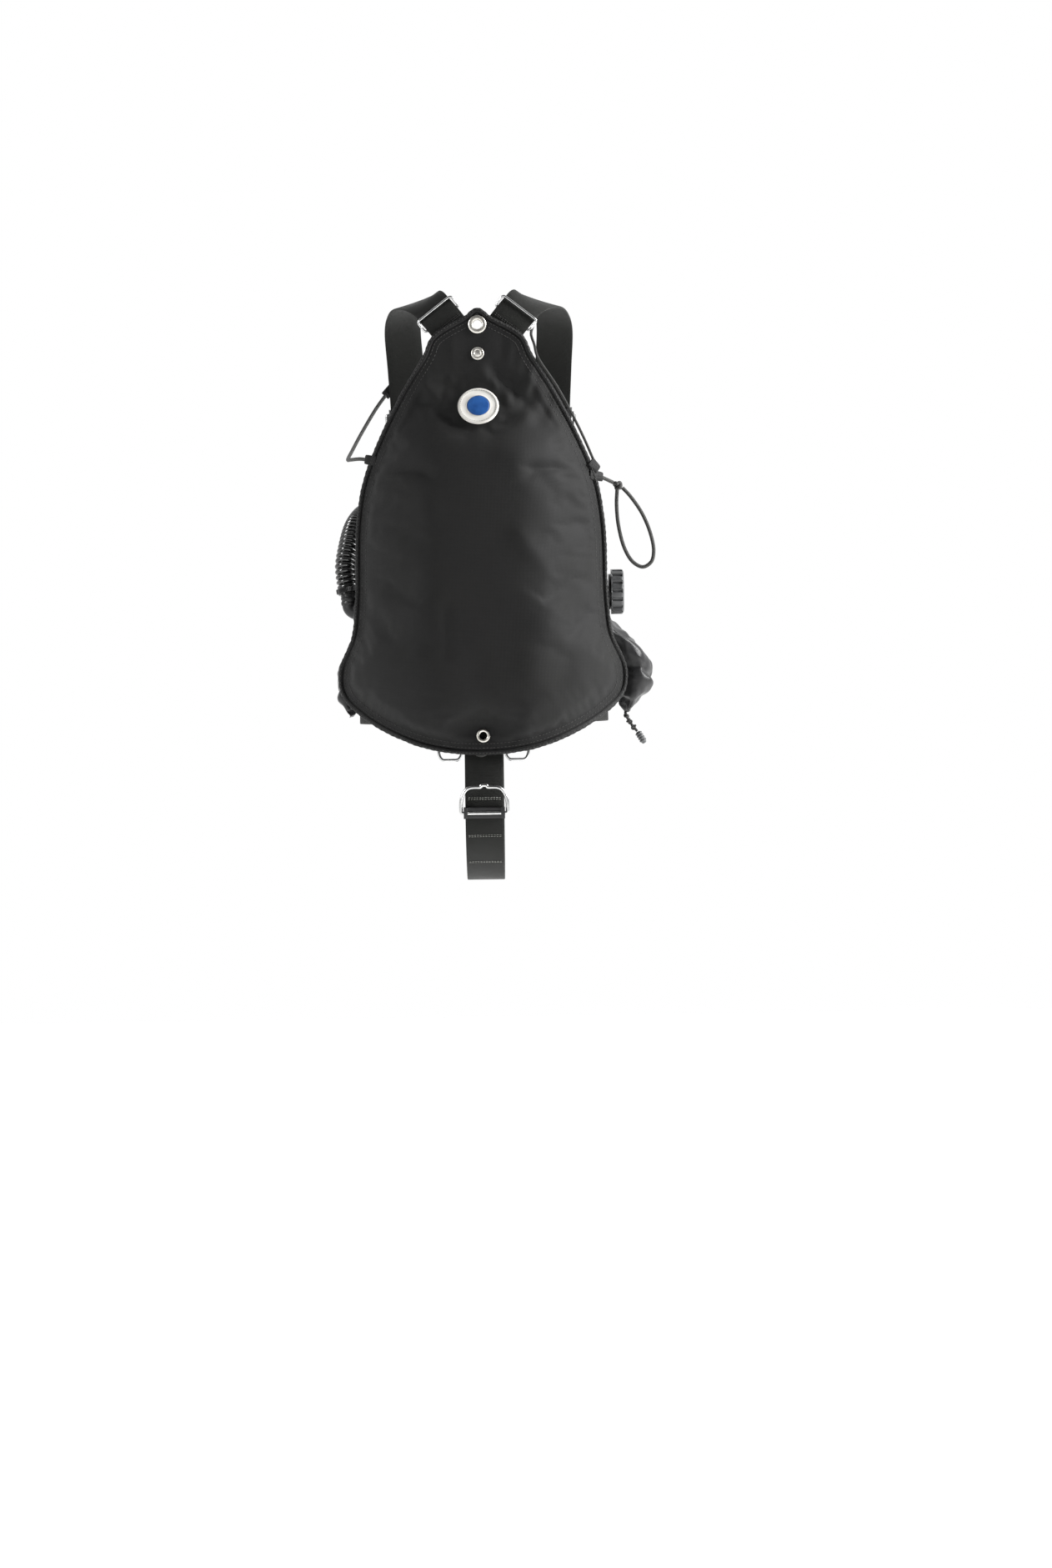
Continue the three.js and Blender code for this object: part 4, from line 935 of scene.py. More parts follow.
def subdivide(thing, levels):
    """Smooths a mesh by subdivision, for good."""
    modifier = thing.modifiers.new("smooth", "SUBSURF")
    modifier.levels = modifier.render_levels = levels
    apply_modifiers(thing)


def apply_modifiers(thing):
    solid = thing.evaluated_get(bpy.context.evaluated_depsgraph_get())
    mesh = bpy.data.meshes.new_from_object(solid)
    thing.modifiers.clear()
    old = thing.data
    thing.data = mesh
    bpy.data.meshes.remove(old)


def drill(thing, holes):
    """Cuts round holes through a panel, front to back, at heights on the middle line."""
    for height, radius in holes:
        cutter_mesh = bpy.data.meshes.new("cutter")
        shape = bmesh.new()
        place = Matrix.Translation((0, WING_FRONT * MM, height * MM))
        bmesh.ops.create_cone(
            shape,
            cap_ends=True,
            segments=40,
            radius1=(radius + GAP) * MM,
            radius2=(radius + GAP) * MM,
            depth=0.04,
            matrix=place @ Matrix.Rotation(math.radians(90), 4, "X"),
        )
        shape.to_mesh(cutter_mesh)
        shape.free()
        cutter = bpy.data.objects.new("cutter", cutter_mesh)
        SCENE.collection.objects.link(cutter)
        modifier = thing.modifiers.new("drill", "BOOLEAN")
        modifier.operation = "DIFFERENCE"
        modifier.object = cutter
        bpy.context.view_layer.update()
        apply_modifiers(thing)
        bpy.data.objects.remove(cutter)
        bpy.data.meshes.remove(cutter_mesh)


def surface_of(thing):
    """What finds a point and outward direction on a piece, looking along +Y."""
    mesh = thing.data
    tree = BVHTree.FromPolygons(
        [v.co for v in mesh.vertices], [tuple(p.vertices) for p in mesh.polygons]
    )

    def find(x, z, start=-0.3, way=1):
        hit, normal, _, _ = tree.ray_cast(Vector((x * MM, start, z * MM)), Vector((0, way, 0)))
        if hit is None:
            return None
        return hit / MM, normal if normal.y * way < 0 else -normal

    return find


def stitch(spots, length=3.0, radius=0.33, lift=0.12):
    """Stitches as small rounded bars: each spot is a point, a direction and an out."""
    shapes = []
    for point, along, out in spots:
        side = along.cross(out).normalized()
        out = side.cross(along).normalized()
        rings = []
        for t, grow, sink in ((-0.5, 0.45, 0.5), (-0.3, 1, 0), (0.3, 1, 0), (0.5, 0.45, 0.5)):
            centre = point + along * (t * length) + out * (lift + radius * (0.4 - sink))
            ring = []
            for k in range(6):
                a = k / 6 * math.tau
                ring.append(centre + (side * math.cos(a) + out * math.sin(a)) * radius * grow)
            rings.append(ring)
        shapes.append(loft(rings))
    return joined(*shapes)


def rim_offset(inward, count):
    """Evenly spaced points round the wing, that far in from its outline."""
    rows = spaced(lambda share: OUTLINE(share), 1.0)
    total = rows[-1][1]
    line = [p for p, _ in rows]
    found = []
    for i in range(count):
        k = int(i / count * (len(line) - 1))
        along = (line[(k + 3) % len(line)] - line[k - 3]).normalized()
        inside = Vector((-along.z, 0, along.x))
        if inside.dot(Vector((0, 0, WING_MIDDLE)) - line[k]) < 0:
            inside.negate()
        found.append((line[k] + inside * inward, along))
    return found, total


def wing_seams(find):
    """Two rows of top stitching inside the binding, laid on the cloth."""
    spots = []
    for inward in (4.0, 9.5):
        count = round(1400 / 4.4)
        rows, _ = rim_offset(inward, count)
        for point, along in rows:
            found = find(point.x, point.z)
            if found and abs(along.dot(found[1])) < 0.9:
                spots.append((found[0], (along - found[1] * along.dot(found[1])).normalized(), found[1]))
    piece("wing_top_stitching", stitch(spots), "root", THREAD, smooth=60)


def edge_binding():
    """Tape folded over the edge and sewn, slightly gathered by its stitches."""
    middle = (WING_FRONT + WING_BACK) / 2
    rows = spaced(lambda share: OUTLINE(share), 2.2)[:-1]
    line = [p for p, _ in rows]
    rings = []
    for i, p in enumerate(line):
        along = (line[(i + 1) % len(line)] - line[i - 1]).normalized()
        outward = Vector((-along.z, 0, along.x))
        if outward.dot(p - Vector((0, 0, WING_MIDDLE))) < 0:
            outward.negate()
        ripple = 0.28 * math.sin(i * 1.7) + 0.5 * noise.noise(Vector((i * 0.13, 0, 0)))
        half = BINDING_T / 2 + 0.25 * math.sin(i * 1.7)
        ring = []
        for u, v in BINDING_SECTION:
            reach = 0.4 + (BINDING_W - 0.2 + ripple) * u
            at = p + outward * reach
            ring.append(Vector((at.x, middle + half * v + wrap(p.x), at.z)))
        rings.append(ring)
    girth = [i / len(BINDING_SECTION) * 22 for i in range(len(BINDING_SECTION) + 1)]
    shape = loft(rings, True, girth, [i * 2.2 for i in range(len(rings) + 1)])
    piece("edge_binding_tape", shape, "root", TAPE, ["edge_binding"], 60)
    spots = []
    for i in range(0, len(line), 2):
        ring = rings[i]
        after = rings[(i + 1) % len(rings)]
        seat = (ring[2] + ring[3]) / 2
        spots.append((seat, (after[2] - ring[2]).normalized(), Vector((0, -1, 0))))
    piece("edge_binding_stitching", stitch(spots, 2.6), "root", THREAD, smooth=60)


# Round the tape: out from the edge (0 to 1) and through the thickness (-1 behind, 1 in front).
BINDING_SECTION = [
    (-0.25, -0.62),
    (0.05, -0.95),
    (0.35, -1.0),
    (0.7, -0.86),
    (0.93, -0.5),
    (1.0, 0.0),
    (0.93, 0.5),
    (0.7, 0.86),
    (0.35, 1.0),
    (0.05, 0.95),
    (-0.25, 0.62),
]


def eyelet(name, size, wall, node):
    """A rolled eyelet: a domed flange behind, a barrel and a washer in front."""
    height, radius, hole = size
    behind = WING_BACK - GAP
    ahead = WING_FRONT + GAP
    barrel = hole + wall
    profile = [
        (hole, ahead + 1.2),
        (radius - 2, ahead + 1.2),
        (radius - 2, ahead),
        (barrel, ahead),
        (barrel, behind),
        (radius, behind),
    ]
    for k in range(9):
        a = k / 8 * math.pi
        middle = (radius + hole) / 2
        profile.append(
            (middle + (radius - middle) * math.cos(a), behind - 0.5 - 1.5 * math.sin(a))
        )
    profile += [(hole, behind), (hole, ahead + 1.2)]
    place = Matrix.Translation((0, 0, height)) @ Matrix.Rotation(math.radians(-90), 4, "X")
    piece(name, turned(profile, place, 72, 0.25), "root", PLATED, [node], 50)


def book_screw(name, node, height, behind, head):
    """A book screw: a flat head in front, and behind a low one with a ring groove round its middle."""
    back = behind - GAP
    profile = [
        (0, GAP + 1.6),
        (head, GAP + 1.6),
        (head, GAP),
        (SCREW_R, GAP),
        (SCREW_R, back),
        (head, back),
        (head, back - 0.7),
        (head * 0.93, back - 1.3),
        (head * 0.6, back - 1.7),
        (head * 0.56, back - 1.1),
        (head * 0.5, back - 1.1),
        (head * 0.46, back - 1.7),
        (0, back - 1.8),
    ]
    place = Matrix.Translation((0, 0, height)) @ Matrix.Rotation(math.radians(-90), 4, "X")
    piece(name, turned(profile, place, 56, 0.2), "root", PLATED, [node], 40)


def badge():
    """A plain round badge: a white dished base with a raised rim, and a blue centre."""
    low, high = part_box("badge_base")
    top, bottom = BADGE_Z + 22, BADGE_Z - 22
    slope = FULL_DOME * (middle_fullness(bottom) - middle_fullness(top)) / (top - bottom)
    up = Vector((0, slope, 1)).normalized()
    out = Vector((0, -1, slope)).normalized()
    seat = (low + high) / 2 / MM - out * 1.75
    place = frame_at(seat, up.cross(out), up, out)
    base = [
        (0, 0.5),
        (BADGE_R, 0.5),
        (BADGE_R, 1.9),
        (BADGE_R - 0.9, 2.9),
        (BADGE_R - 2.6, 3.1),
        (BADGE_R - 4.2, 2.5),
        (BADGE_R * 0.62, 2.5),
        (BADGE_R * 0.58, 3.0),
        (BADGE_DISC_R, 2.8),
        (BADGE_DISC_R, 1.6),
        (0, 1.6),
    ]
    piece("badge_white_ring", turned(base, place, 80), "root", WHITE_PVC, ["badge_base"])
    disc = [
        (0, 2.0),
        (BADGE_DISC_R - GAP, 2.0),
        (BADGE_DISC_R - GAP, 3.0),
        (BADGE_R * 0.5, 3.5),
        (BADGE_R * 0.3, 3.7),
        (0, 3.8),
    ]
    piece("badge_blue_disc", turned(disc, place, 64), "root", BLUE_PVC, ["badge_disc"])
    spots = []
    for k in range(46):
        a = k / 46 * math.tau
        at = place @ Vector((math.cos(a) * (BADGE_R - 3.4), math.sin(a) * (BADGE_R - 3.4), 2.78))
        along = (place.to_3x3() @ Vector((-math.sin(a), math.cos(a), 0))).normalized()
        spots.append((at, along, out))
    piece("badge_stitching", stitch(spots, 2.4, 0.28), "root", PALE_THREAD, smooth=60)


def middle_fullness(z):
    """The wing's fullness on its middle line."""
    share = (z - WING_MIDDLE) / (WING_TOP - WING_MIDDLE)
    return math.sqrt(1 - share**2.6) * (1 - smoothstep(WING_TOP - 200, WING_TOP - 86, z))


# ------------------------------------------------------------------ side lobes

# Slices from the top down: height, inner x, outer x, back y, front y.
LOBES = {
    "right": [
        (186, 150, 157, 86, 104),
        (165, 142, 163, 70, 118),
        (140, 139, 166, 62, 124),
        (120, 142, 168, 64, 128),
        (104, 150, 181, 66, 136),
        (80, 160, 206, 72, 148),
        (54, 172, 222, 78, 160),
        (28, 173, 229, 80, 166),
        (6, 175, 214, 84, 158),
        (-12, 180, 198, 96, 140),
    ],
    "left": [
        (176, 146, 153, 86, 104),
        (155, 139, 158, 70, 118),
        (130, 137, 160, 62, 124),
        (108, 140, 162, 64, 128),
        (90, 150, 172, 66, 136),
        (70, 160, 183, 72, 148),
        (45, 172, 192, 80, 158),
        (18, 172, 196, 80, 162),
        (-4, 172, 187, 84, 154),
        (-18, 174, 181, 96, 140),
    ],
}


def lobe(side):
    """A side lobe: packcloth that crumples where the waist belt gathers it."""
    s = SIDES[side]
    slices = LOBES[side]
    heights = centripetal([(row[0], 0, 0) for row in slices])
    inner_outer = centripetal([(row[1], row[2], 0) for row in slices])
    back_front = centripetal([(row[3], row[4], 0) for row in slices])
    rings, along = [], []
    levels, sides = 46, 52
    for level in range(levels + 1):
        share = level / levels
        z = heights(share).x
        inner, outer, _ = inner_outer(share)
        behind, ahead, _ = back_front(share)
        close = min(1.0, 0.35 + 1.8 * min(share, 1 - share) ** 0.5)
        ring = []
        for k in range(sides):
            a = k / sides * math.tau
            x = s * ((inner + outer) / 2 + (outer - inner) / 2 * 0.94 * close * math.cos(a))
            y = (behind + ahead) / 2 + (ahead - behind) / 2 * 0.95 * close * math.sin(a)
            ring.append(Vector((x, y, z)))
        rings.append(ring)
        along.append(-z)
    girth = [k / sides * 190 for k in range(sides + 1)]
    made = piece(
        f"side_lobe_{side}_cloth",
        loft(rings, False, girth, along + [along[-1]]),
        "root",
        PACKCLOTH,
        [f"side_lobe_{side}"],
        180,
    )
    held = [
        i
        for i, v in enumerate(made.data.vertices)
        if v.co.z > 0.15 or (v.co.x * s < 0.158 and v.co.z > 0.06) or i % (sides * 9) < 3
    ]
    swell(made, held, 6.0, 3.0, 0.09)
    crumple(made, s, side)
    subdivide(made, 1)


# Creases pressed into each lobe: from, to, half width and depth, as (y, z) on its outer side.
CREASES = {
    "right": [
        ((80, 46), (150, 20), 5, -5.5),
        ((74, 92), (140, 66), 6, -4.5),
        ((84, 64), (150, 44), 8, 2.5),
        ((96, 4), (152, 8), 5, -3.5),
        ((70, 118), (112, 96), 5, -3.0),
        ((86, 30), (120, -2), 6, 2.5),
    ],
    "left": [
        ((78, 30), (140, 8), 5, -4.5),
        ((76, 78), (130, 52), 7, -4.0),
        ((84, 10), (140, -6), 5, 2.5),
        ((72, 110), (110, 86), 6, -3.0),
        ((90, 54), (150, 30), 7, 2.0),
    ],
}


def crumple(thing, s, side):
    """Presses in the creases and adds small random crumpling along the normals."""
    mesh = thing.data
    normals = [v.normal.copy() for v in mesh.vertices]
    for vertex, normal in zip(mesh.vertices, normals):
        p = vertex.co / MM
        rise = 0.0
        for start, end, half, height in CREASES[side]:
            distance = off_line((p.y, p.z), start, end)
            facing = max(0.15, abs(normal.x), -normal.y)
            rise += CREASE_DEPTH * height * facing * math.exp(-((distance / half) ** 2))
        ridged = 1 - abs(noise.noise(Vector((p.x, p.y, p.z * 1.6)) / 17 + Vector((s, 2, 3)))) * 2.4
        rise += 1.5 * ridged - 0.9
        low = smoothstep(-30, 40, 200 - p.z)
        vertex.co += normal * (rise * low * MM)
    mesh.update()


# ------------------------------------------------------------------ webbing

WEB_SECTION = [
    (-1.0, -0.35),
    (-0.985, -0.8),
    (-0.955, -1.0),
    (-0.5, -1.0),
    (0.0, -1.0),
    (0.5, -1.0),
    (0.955, -1.0),
    (0.985, -0.8),
    (1.0, -0.35),
    (1.0, 0.35),
    (0.985, 0.8),
    (0.955, 1.0),
    (0.5, 1.0),
    (0.0, 1.0),
    (-0.5, 1.0),
    (-0.955, 1.0),
    (-0.985, 0.8),
    (-1.0, 0.35),
]


def strap_route(rows):
    """A strap's centre line: rows of x, y, z and the way its outer face looks."""
    place = centripetal([row[:3] for row in rows])
    facing = centripetal([row[3:] for row in rows])

    def at(share):
        point = place(share)
        along = tangent(place, share)
        out = facing(share)
        out = (out - along * out.dot(along)).normalized()
        return point, along, out, along.cross(out).normalized()

    return at


def belt_route(plan):
    """The belt runs level, so its outer face follows from its plan."""
    curve = centripetal([(x, y, 0) for x, y in plan])

    def at(share):
        point = curve(share)
        along = tangent(curve, share)
        out = along.cross(Vector((0, 0, 1))).normalized()
        if out.dot(point - Vector((0, 112, 0))) < 0:
            out.negate()
        return point, along, out, along.cross(out).normalized()

    return at


def shoulder_rows(side):
    s = SIDES[side]
    start = BACK - LAYER if side == "left" else BACK - 2 * LAYER
    return [
        (-s * 6, start, SCREW_Z - 19, 0, -1, 0),
        (s * 20, start, SCREW_Z + 14, 0, -1, 0),
        (s * 34, start, SCREW_Z + 32, 0, -1, 0),
        (s * 47, BACK - 4, SCREW_Z + 48.6, s * 0.06, -1, 0.08),
        (s * 57, BACK, SCREW_Z + 60.5, s * 0.3, -1, 0.4),
        (s * 64, 3, SCREW_Z + 69, s * 0.5, -0.9, 0.75),
        (s * 74, 21, SCREW_Z + 73, s * 0.4, -0.4, 1),
        (s * 88, 55, SCREW_Z + 75, s * 0.3, -0.1, 1),
        (s * 98, 100, SCREW_Z + 71, s * 0.35, 0.2, 1),
        (s * 103, 150, SCREW_Z + 52, s * 0.3, 0.8, 1),
        (s * 101, CHEST_Y - 36, SCREW_Z + 6, s * 0.2, 1, 0.6),
        (s * CHEST_RING[0], CHEST_RING[1], CHEST_RING[2], s * 0.1, 1, 0.2),
        (s * 97, CHEST_Y, 330, s * 0.1, 1, 0),
        (s * 98, CHEST_Y - 2, 230, s * 0.12, 1, 0),
        (s * 102, CHEST_Y - 8, 130, s * 0.2, 1, 0),
        (s * 106, CHEST_Y - 12, STRAP_FOOT_Z, s * 0.3, 1, 0),
    ]


def belt_start(s):
    return [
        (s * (WEB / 2 + 3), BACK),
        (s * 36, BACK + 0.2),
        (s * 47, 2.6),
        (s * 60, 5.2),
        (s * 100, 21),
        (s * 148, 62),
    ]


ROUTES = {
    "shoulder_strap_left": strap_route(shoulder_rows("left")),
    "shoulder_strap_right": strap_route(shoulder_rows("right")),
    "spine_strap": strap_route(
        [(0, BACK, z, 0, -1, 0) for z in (SCREW_Z + 14, 300, 150, 8)],
    ),
    "crotch_strap": strap_route(
        [
            (0, BACK, -6, 0, -1, 0),
            (0, BACK, -34, 0, -1, 0),
            (0, BACK - 0.8, -60, 0, -1, 0),
            (0, BACK - 7, -92, 0, -1, 0),
            (0, BACK - 16, -130, 0, -1, -0.05),
            (0, BACK - 8, -172, 0, -1, -0.45),
            (0, 22, -208, 0, -0.7, -1),
            (0, 70, -232, 0, -0.1, -1),
            (0, 122, -232, 0, 0.2, -1),
            (0, 168, -206, 0, 1, -1),
            (0, 200, -150, 0, 1, -0.35),
            (0, 216, -80, 0, 1, -0.1),
            (0, 219, -30, 0, 1, 0),
            (0, 219.5, STRAP_FOOT_Z - 10, 0, 1, 0),
            (0, 222, STRAP_FOOT_Z - 1, 0, 0.5, 1),
            (0, 228, STRAP_FOOT_Z, 0, -0.1, 1),
            (0, 231.5, STRAP_FOOT_Z - 8, 0, -1, 0.2),
            (0, 232, -30, 0, -1, 0),
            (0, 231, -48, 0, -1, 0),
        ]
    ),
    "waist_belt_right": belt_route(
        belt_start(1)
        + [
            (166, 112),
            (150, 168),
            (112, 207),
            (60, 222),
            (20, FRONT_FLAT),
            (BUCKLE_X + 38, FRONT_FLAT + 0.6),
            (BUCKLE_X, FRONT_FLAT + 2),
            (BUCKLE_X - 38, FRONT_FLAT + 2),
            (BUCKLE_X - 58, FRONT_FLAT - 3),
        ]
    ),
    "waist_belt_left": belt_route(
        belt_start(-1)
        + [
            (-166, 112),
            (-152, 164),
            (BUCKLE_X - 66, 203),
            (BUCKLE_X - 40, 218),
            (BUCKLE_X - 10, FRONT_FLAT - 4.4),
        ]
    ),
}


def lengths_of(route, steps):
    """Each step's share of a route with its distance from the start."""
    rows = [(0.0, 0.0)]
    before = route(0)[0]
    for i in range(1, steps + 1):
        here = route(i / steps)[0]
        rows.append((i / steps, rows[-1][1] + (here - before).length))
        before = here
    return rows


def share_at(rows, distance):
    for (s0, d0), (s1, d1) in zip(rows, rows[1:]):
        if d1 >= distance:
            return s0 + (s1 - s0) * (distance - d0) / max(d1 - d0, 1e-9)
    return 1.0


def strap(node, steps=150):
    """A strap of webbing with rounded selvedges, its texture running along it."""
    route = ROUTES[node]
    rows = lengths_of(route, steps)
    girth = [0.0]
    closed = WEB_SECTION + WEB_SECTION[:1]
    for (u0, v0), (u1, v1) in zip(closed, closed[1:]):
        girth.append(girth[-1] + math.hypot((u1 - u0) * WEB / 2, (v1 - v0) * WEB_T / 2))
    rings = []
    for share, distance in rows:
        point, _, out, across = route(share)
        cup = 0.35 * math.sin(distance * 0.021)
        ring = []
        for u, v in WEB_SECTION:
            lift = v * WEB_T / 2 + cup * (1 - u * u)
            ring.append(point + across * (u * WEB / 2) + out * lift)
        rings.append(ring)
    shape = loft(rings, False, girth, [d for _, d in rows] + [0])
    stands_for = [node, "crotch_loop"] if node == "crotch_strap" else [node]
    piece(f"{node}_webbing", shape, "root", WEBBING, stands_for, 50)


def strap_stitches(node, label, marks, side=1, thread=THREAD):
    """Sewn lines on a strap: each mark is (distance, across) to (distance, across)."""
    route = ROUTES[node]
    rows = lengths_of(route, 400)
    spots = []
    for (d0, u0), (d1, u1) in marks:
        length = math.hypot(d1 - d0, u1 - u0)
        count = max(1, round(length / 3.8))
        for k in range(count):
            t = (k + 0.5) / count
            distance, offset = d0 + (d1 - d0) * t, u0 + (u1 - u0) * t
            point, along, out, across = route(share_at(rows, distance))
            cup = 0.35 * math.sin(distance * 0.021) * (1 - (offset / (WEB / 2)) ** 2)
            seat = point + across * offset + out * (side * WEB_T / 2 + cup)
            heading = (along * (d1 - d0) + across * (u1 - u0)).normalized()
            spots.append((seat, heading, out * side))
    piece(f"{node}_{label}", stitch(spots, 2.8, 0.34), "root", thread, smooth=60)


def box_stitch(start, end, half=20.0):
    """A sewn box with a cross in it."""
    return [
        ((start, -half), (start, half)),
        ((end, -half), (end, half)),
        ((start, -half), (end, -half)),
        ((start, half), (end, half)),
        ((start, -half), (end, half)),
        ((start, half), (end, -half)),
    ]


def bars(*distances, half=22.0):
    """Bar tacks: pairs of lines straight across."""
    return [((d + o, -half), (d + o, half)) for d in distances for o in (0, 2.2)]


def harness():
    for node in ROUTES:
        strap(node)
    for side in ("left", "right"):
        strap_stitches(f"shoulder_strap_{side}", "bar_tacks", bars(74, 640, 700))
    strap_stitches("crotch_strap", "bar_tacks", bars(122, 172, 222), 1, PALE_THREAD)
    total = lengths_of(ROUTES["crotch_strap"], 400)[-1][1]
    strap_stitches("crotch_strap", "box_stitch", box_stitch(total - 70, total - 12), 1)
    total = lengths_of(ROUTES["waist_belt_left"], 400)[-1][1]
    strap_stitches("waist_belt_left", "box_stitch", box_stitch(total - 64, total - 22), 1)


# ------------------------------------------------------------------ steel rings and keepers


def node_mesh(node):
    """A CAD node's mesh, its flat faces joined again, for a piece with eased edges."""
    shape = bmesh.new()
    shape.from_mesh(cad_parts[node].data)
    bmesh.ops.remove_doubles(shape, verts=shape.verts, dist=1e-6)
    bmesh.ops.dissolve_limit(
        shape, angle_limit=math.radians(1), verts=shape.verts, edges=shape.edges
    )
    return shape


def eased(node, name, width, material, body="root"):
    """A hard piece with its CAD node's own shape and eased edges."""
    shape = node_mesh(node)
    mesh = bpy.data.meshes.new(name)
    shape.to_mesh(mesh)
    shape.free()
    mesh.materials.clear()
    mesh.materials.append(material)
    for polygon in mesh.polygons:
        polygon.use_smooth = True
        polygon.material_index = 0
    thing = bpy.data.objects.new(name, mesh)
    SCENE.collection.objects.link(thing)
    bevel = thing.modifiers.new("ease", "BEVEL")
    bevel.width = width * MM
    bevel.segments = 2
    bevel.limit_method = "ANGLE"
    bevel.angle_limit = math.radians(38)
    bevel.harden_normals = False
    apply_modifiers(thing)
    thing.data.set_sharp_from_angle(angle=math.radians(40))
    return settle(thing, body, [node])


def share_near(route, target):
    """The share of a route whose point is nearest to a target."""
    shares = [i / 400 for i in range(401)]
    return min(shares, key=lambda share: (route(share)[0] - Vector(target)).length)


def ring_outline(half, drop, notch):
    """A D-ring's outline: straight bar, square shoulders and a flat bow."""
    corners = [(-half, 0), (half, 0), (half, -drop * 0.56), (half * 0.74, -drop)]
    bends = [3.0, 3.0, drop * 2, drop * 0.8]
    if notch:
        corners += [(4.5, -drop), (3.2, -drop - 2.6), (-3.2, -drop - 2.6), (-4.5, -drop)]
        bends += [1.5, 2.0, 2.0, 1.5]
    corners += [(-half * 0.74, -drop), (-half, -drop * 0.56)]
    bends += [drop * 0.8, drop * 2]
    return corners, bends


def d_ring(name, node, place, body, drop=RING_DROP, half=RING_HALF, wire_r=RING_WIRE_R, notch=False):
    seat = place @ Matrix.Translation((0, 0, BAR_OUT))
    corners, bends = ring_outline(half, drop, notch)
    shape = wire(corners, wire_r, bends, seat)
    piece(name, shape, body, STEEL, [node], 60)


def strap_frame(node, target, way):
    route = ROUTES[node]
    point, along, out, across = route(share_near(route, target))
    place = frame_at(point, across, along, out)
    return place @ Matrix.Rotation(math.pi, 4, "Z") if way > 0 else place


def steel_rings():
    """D-rings on the chest, crotch and lumbar plate, with what holds them."""
    for side, s in SIDES.items():
        x, y, z = CHEST_RING
        place = strap_frame(f"shoulder_strap_{side}", (s * x, y, z), 1)
        d_ring(f"chest_{side}_d_ring", f"chest_{side}_ring", place, f"chest_{side}_ring")
        eased(
            f"chest_{side}_keeper", f"chest_{side}_keeper_moulding", 1.2, SILICONE
        )
        eye = Vector((s * BUTT_RING_X, BACK - 0.4, BUTT_EYE_Z))
        seat = frame_at(eye, Vector((-1, 0, 0)), Vector((0, 0, 1)), Vector((0, 1, 0)))
        seat = seat @ Matrix.Translation((0, 0, -BAR_OUT))
        d_ring(f"butt_{side}_d_ring", f"butt_{side}_ring", seat, f"butt_{side}_ring", *BUTT_RING)
        eased(f"butt_{side}_eye", f"butt_{side}_eye_steel", 0.5, PLATE)
    place = strap_frame("crotch_strap", (0, -20, -145), -1)
    d_ring("crotch_d_ring", "crotch_ring", place, "crotch_ring", notch=True)
    eased("crotch_keeper", "crotch_keeper_moulding", 1.2, SILICONE)


def ladders():
    """The bent wire loops that the shoulder straps thread, one long bar above the other."""
    for side, s in SIDES.items():
        outer = Vector((s * 56.5, BACK - 4.6, SCREW_Z + 60.5))
        inner = Vector((s * 46, BACK - 0.4, SCREW_Z + 47))
        along = (outer - inner).normalized()
        half = WEB / 2 + LADDER_WIRE_R + 1.2
        across = Vector((along.z, 0, -along.x)).normalized()
        out = across.cross(along).normalized()
        reach = (outer - inner).length
        place = frame_at(inner, across, along, out)
        corners = [(-half, 0), (half, 0), (half, reach), (-half, reach)]
        shape = wire(corners, LADDER_WIRE_R, 4.5, place)
        piece(f"strap_ladder_{side}_wire", shape, "root", STEEL, [f"strap_ladder_{side}"], 60)


# ------------------------------------------------------------------ dump valve


def dump_valve():
    """The dump valve: clamped body, and a cap with a ribbed grip and vents round its face."""
    place = frame_at(Vector(VALVE_AT), Vector((0, 1, 0)), Vector((0, 0, 1)), Vector((1, 0, 0)))
    barrel, rim = VALVE_BARREL_R, VALVE_CAP_R
    body = [(14, 0), (24, 0), (24, 2.5), (barrel, 2.5), (barrel, 8), (14, 8), (14, 0)]
    piece("valve_body_moulding", turned(body, place, 72), "root", ACETAL, ["valve_body"])
    foot, top = VALVE_FOOT, VALVE_TOP

    def ribs(angle, r, h):
        if r < rim - 1.5 or h < foot + 1.5 or h > top - 2.6:
            return 0
        return -2.6 * max(0.0, math.cos(angle * 16)) ** 0.7

    cap = [
        (barrel + GAP, foot),
        (rim, foot),
        (rim, foot + 2),
        (rim, foot + 2.4),
        (rim, top - 5),
        (rim, top - 3),
        (rim - 0.6, top - 1.4),
        (27, top),
        (24, top),
        (23.2, top - 0.9),
        (10.5, top - 0.9),
        (9.8, top),
        (4, top + 0.2),
        (3.4, top - 0.6),
        (0, top - 0.6),
        (0, top - 3.2),
        (barrel + GAP, top - 3.2),
        (barrel + GAP, foot),
    ]
    piece("valve_cap_moulding", turned(cap, place, 192, 0.3, ribs), "root", FILLED, ["valve_cap"])
    vents = []
    for k in range(6):
        a = k / 6 * math.tau
        at = place @ Matrix.Translation((math.cos(a) * 16.5, math.sin(a) * 16.5, 0))
        at = at @ Matrix.Rotation(a, 4, "Z")
        collar = [
            (2.2, top - 1.4),
            (3.2, top - 0.7),
            (3.0, top - 0.3),
            (2.4, top - 0.2),
            (2.0, top - 0.9),
            (0, top - 1.0),
        ]
        vents.append(turned(collar, at, 24, 0.1))
    piece("valve_cap_vents", joined(*vents), "root", ACETAL, smooth=60)


# ------------------------------------------------------------------ hose and inflator

HOSE_ROUTE = [
    (-177.5, 92, 149),
    (-180, 93, 164),
    (-182, 96, 186),
    (-178, 106, 212),
    (-172, 130, 238),
    (-164, 168, 256),
    (-156, 212, 266),
    (-140, 248, 274),
    (-118, 262, 281),
    (-90, 265, 287),
]
HOSE = centripetal(HOSE_ROUTE)


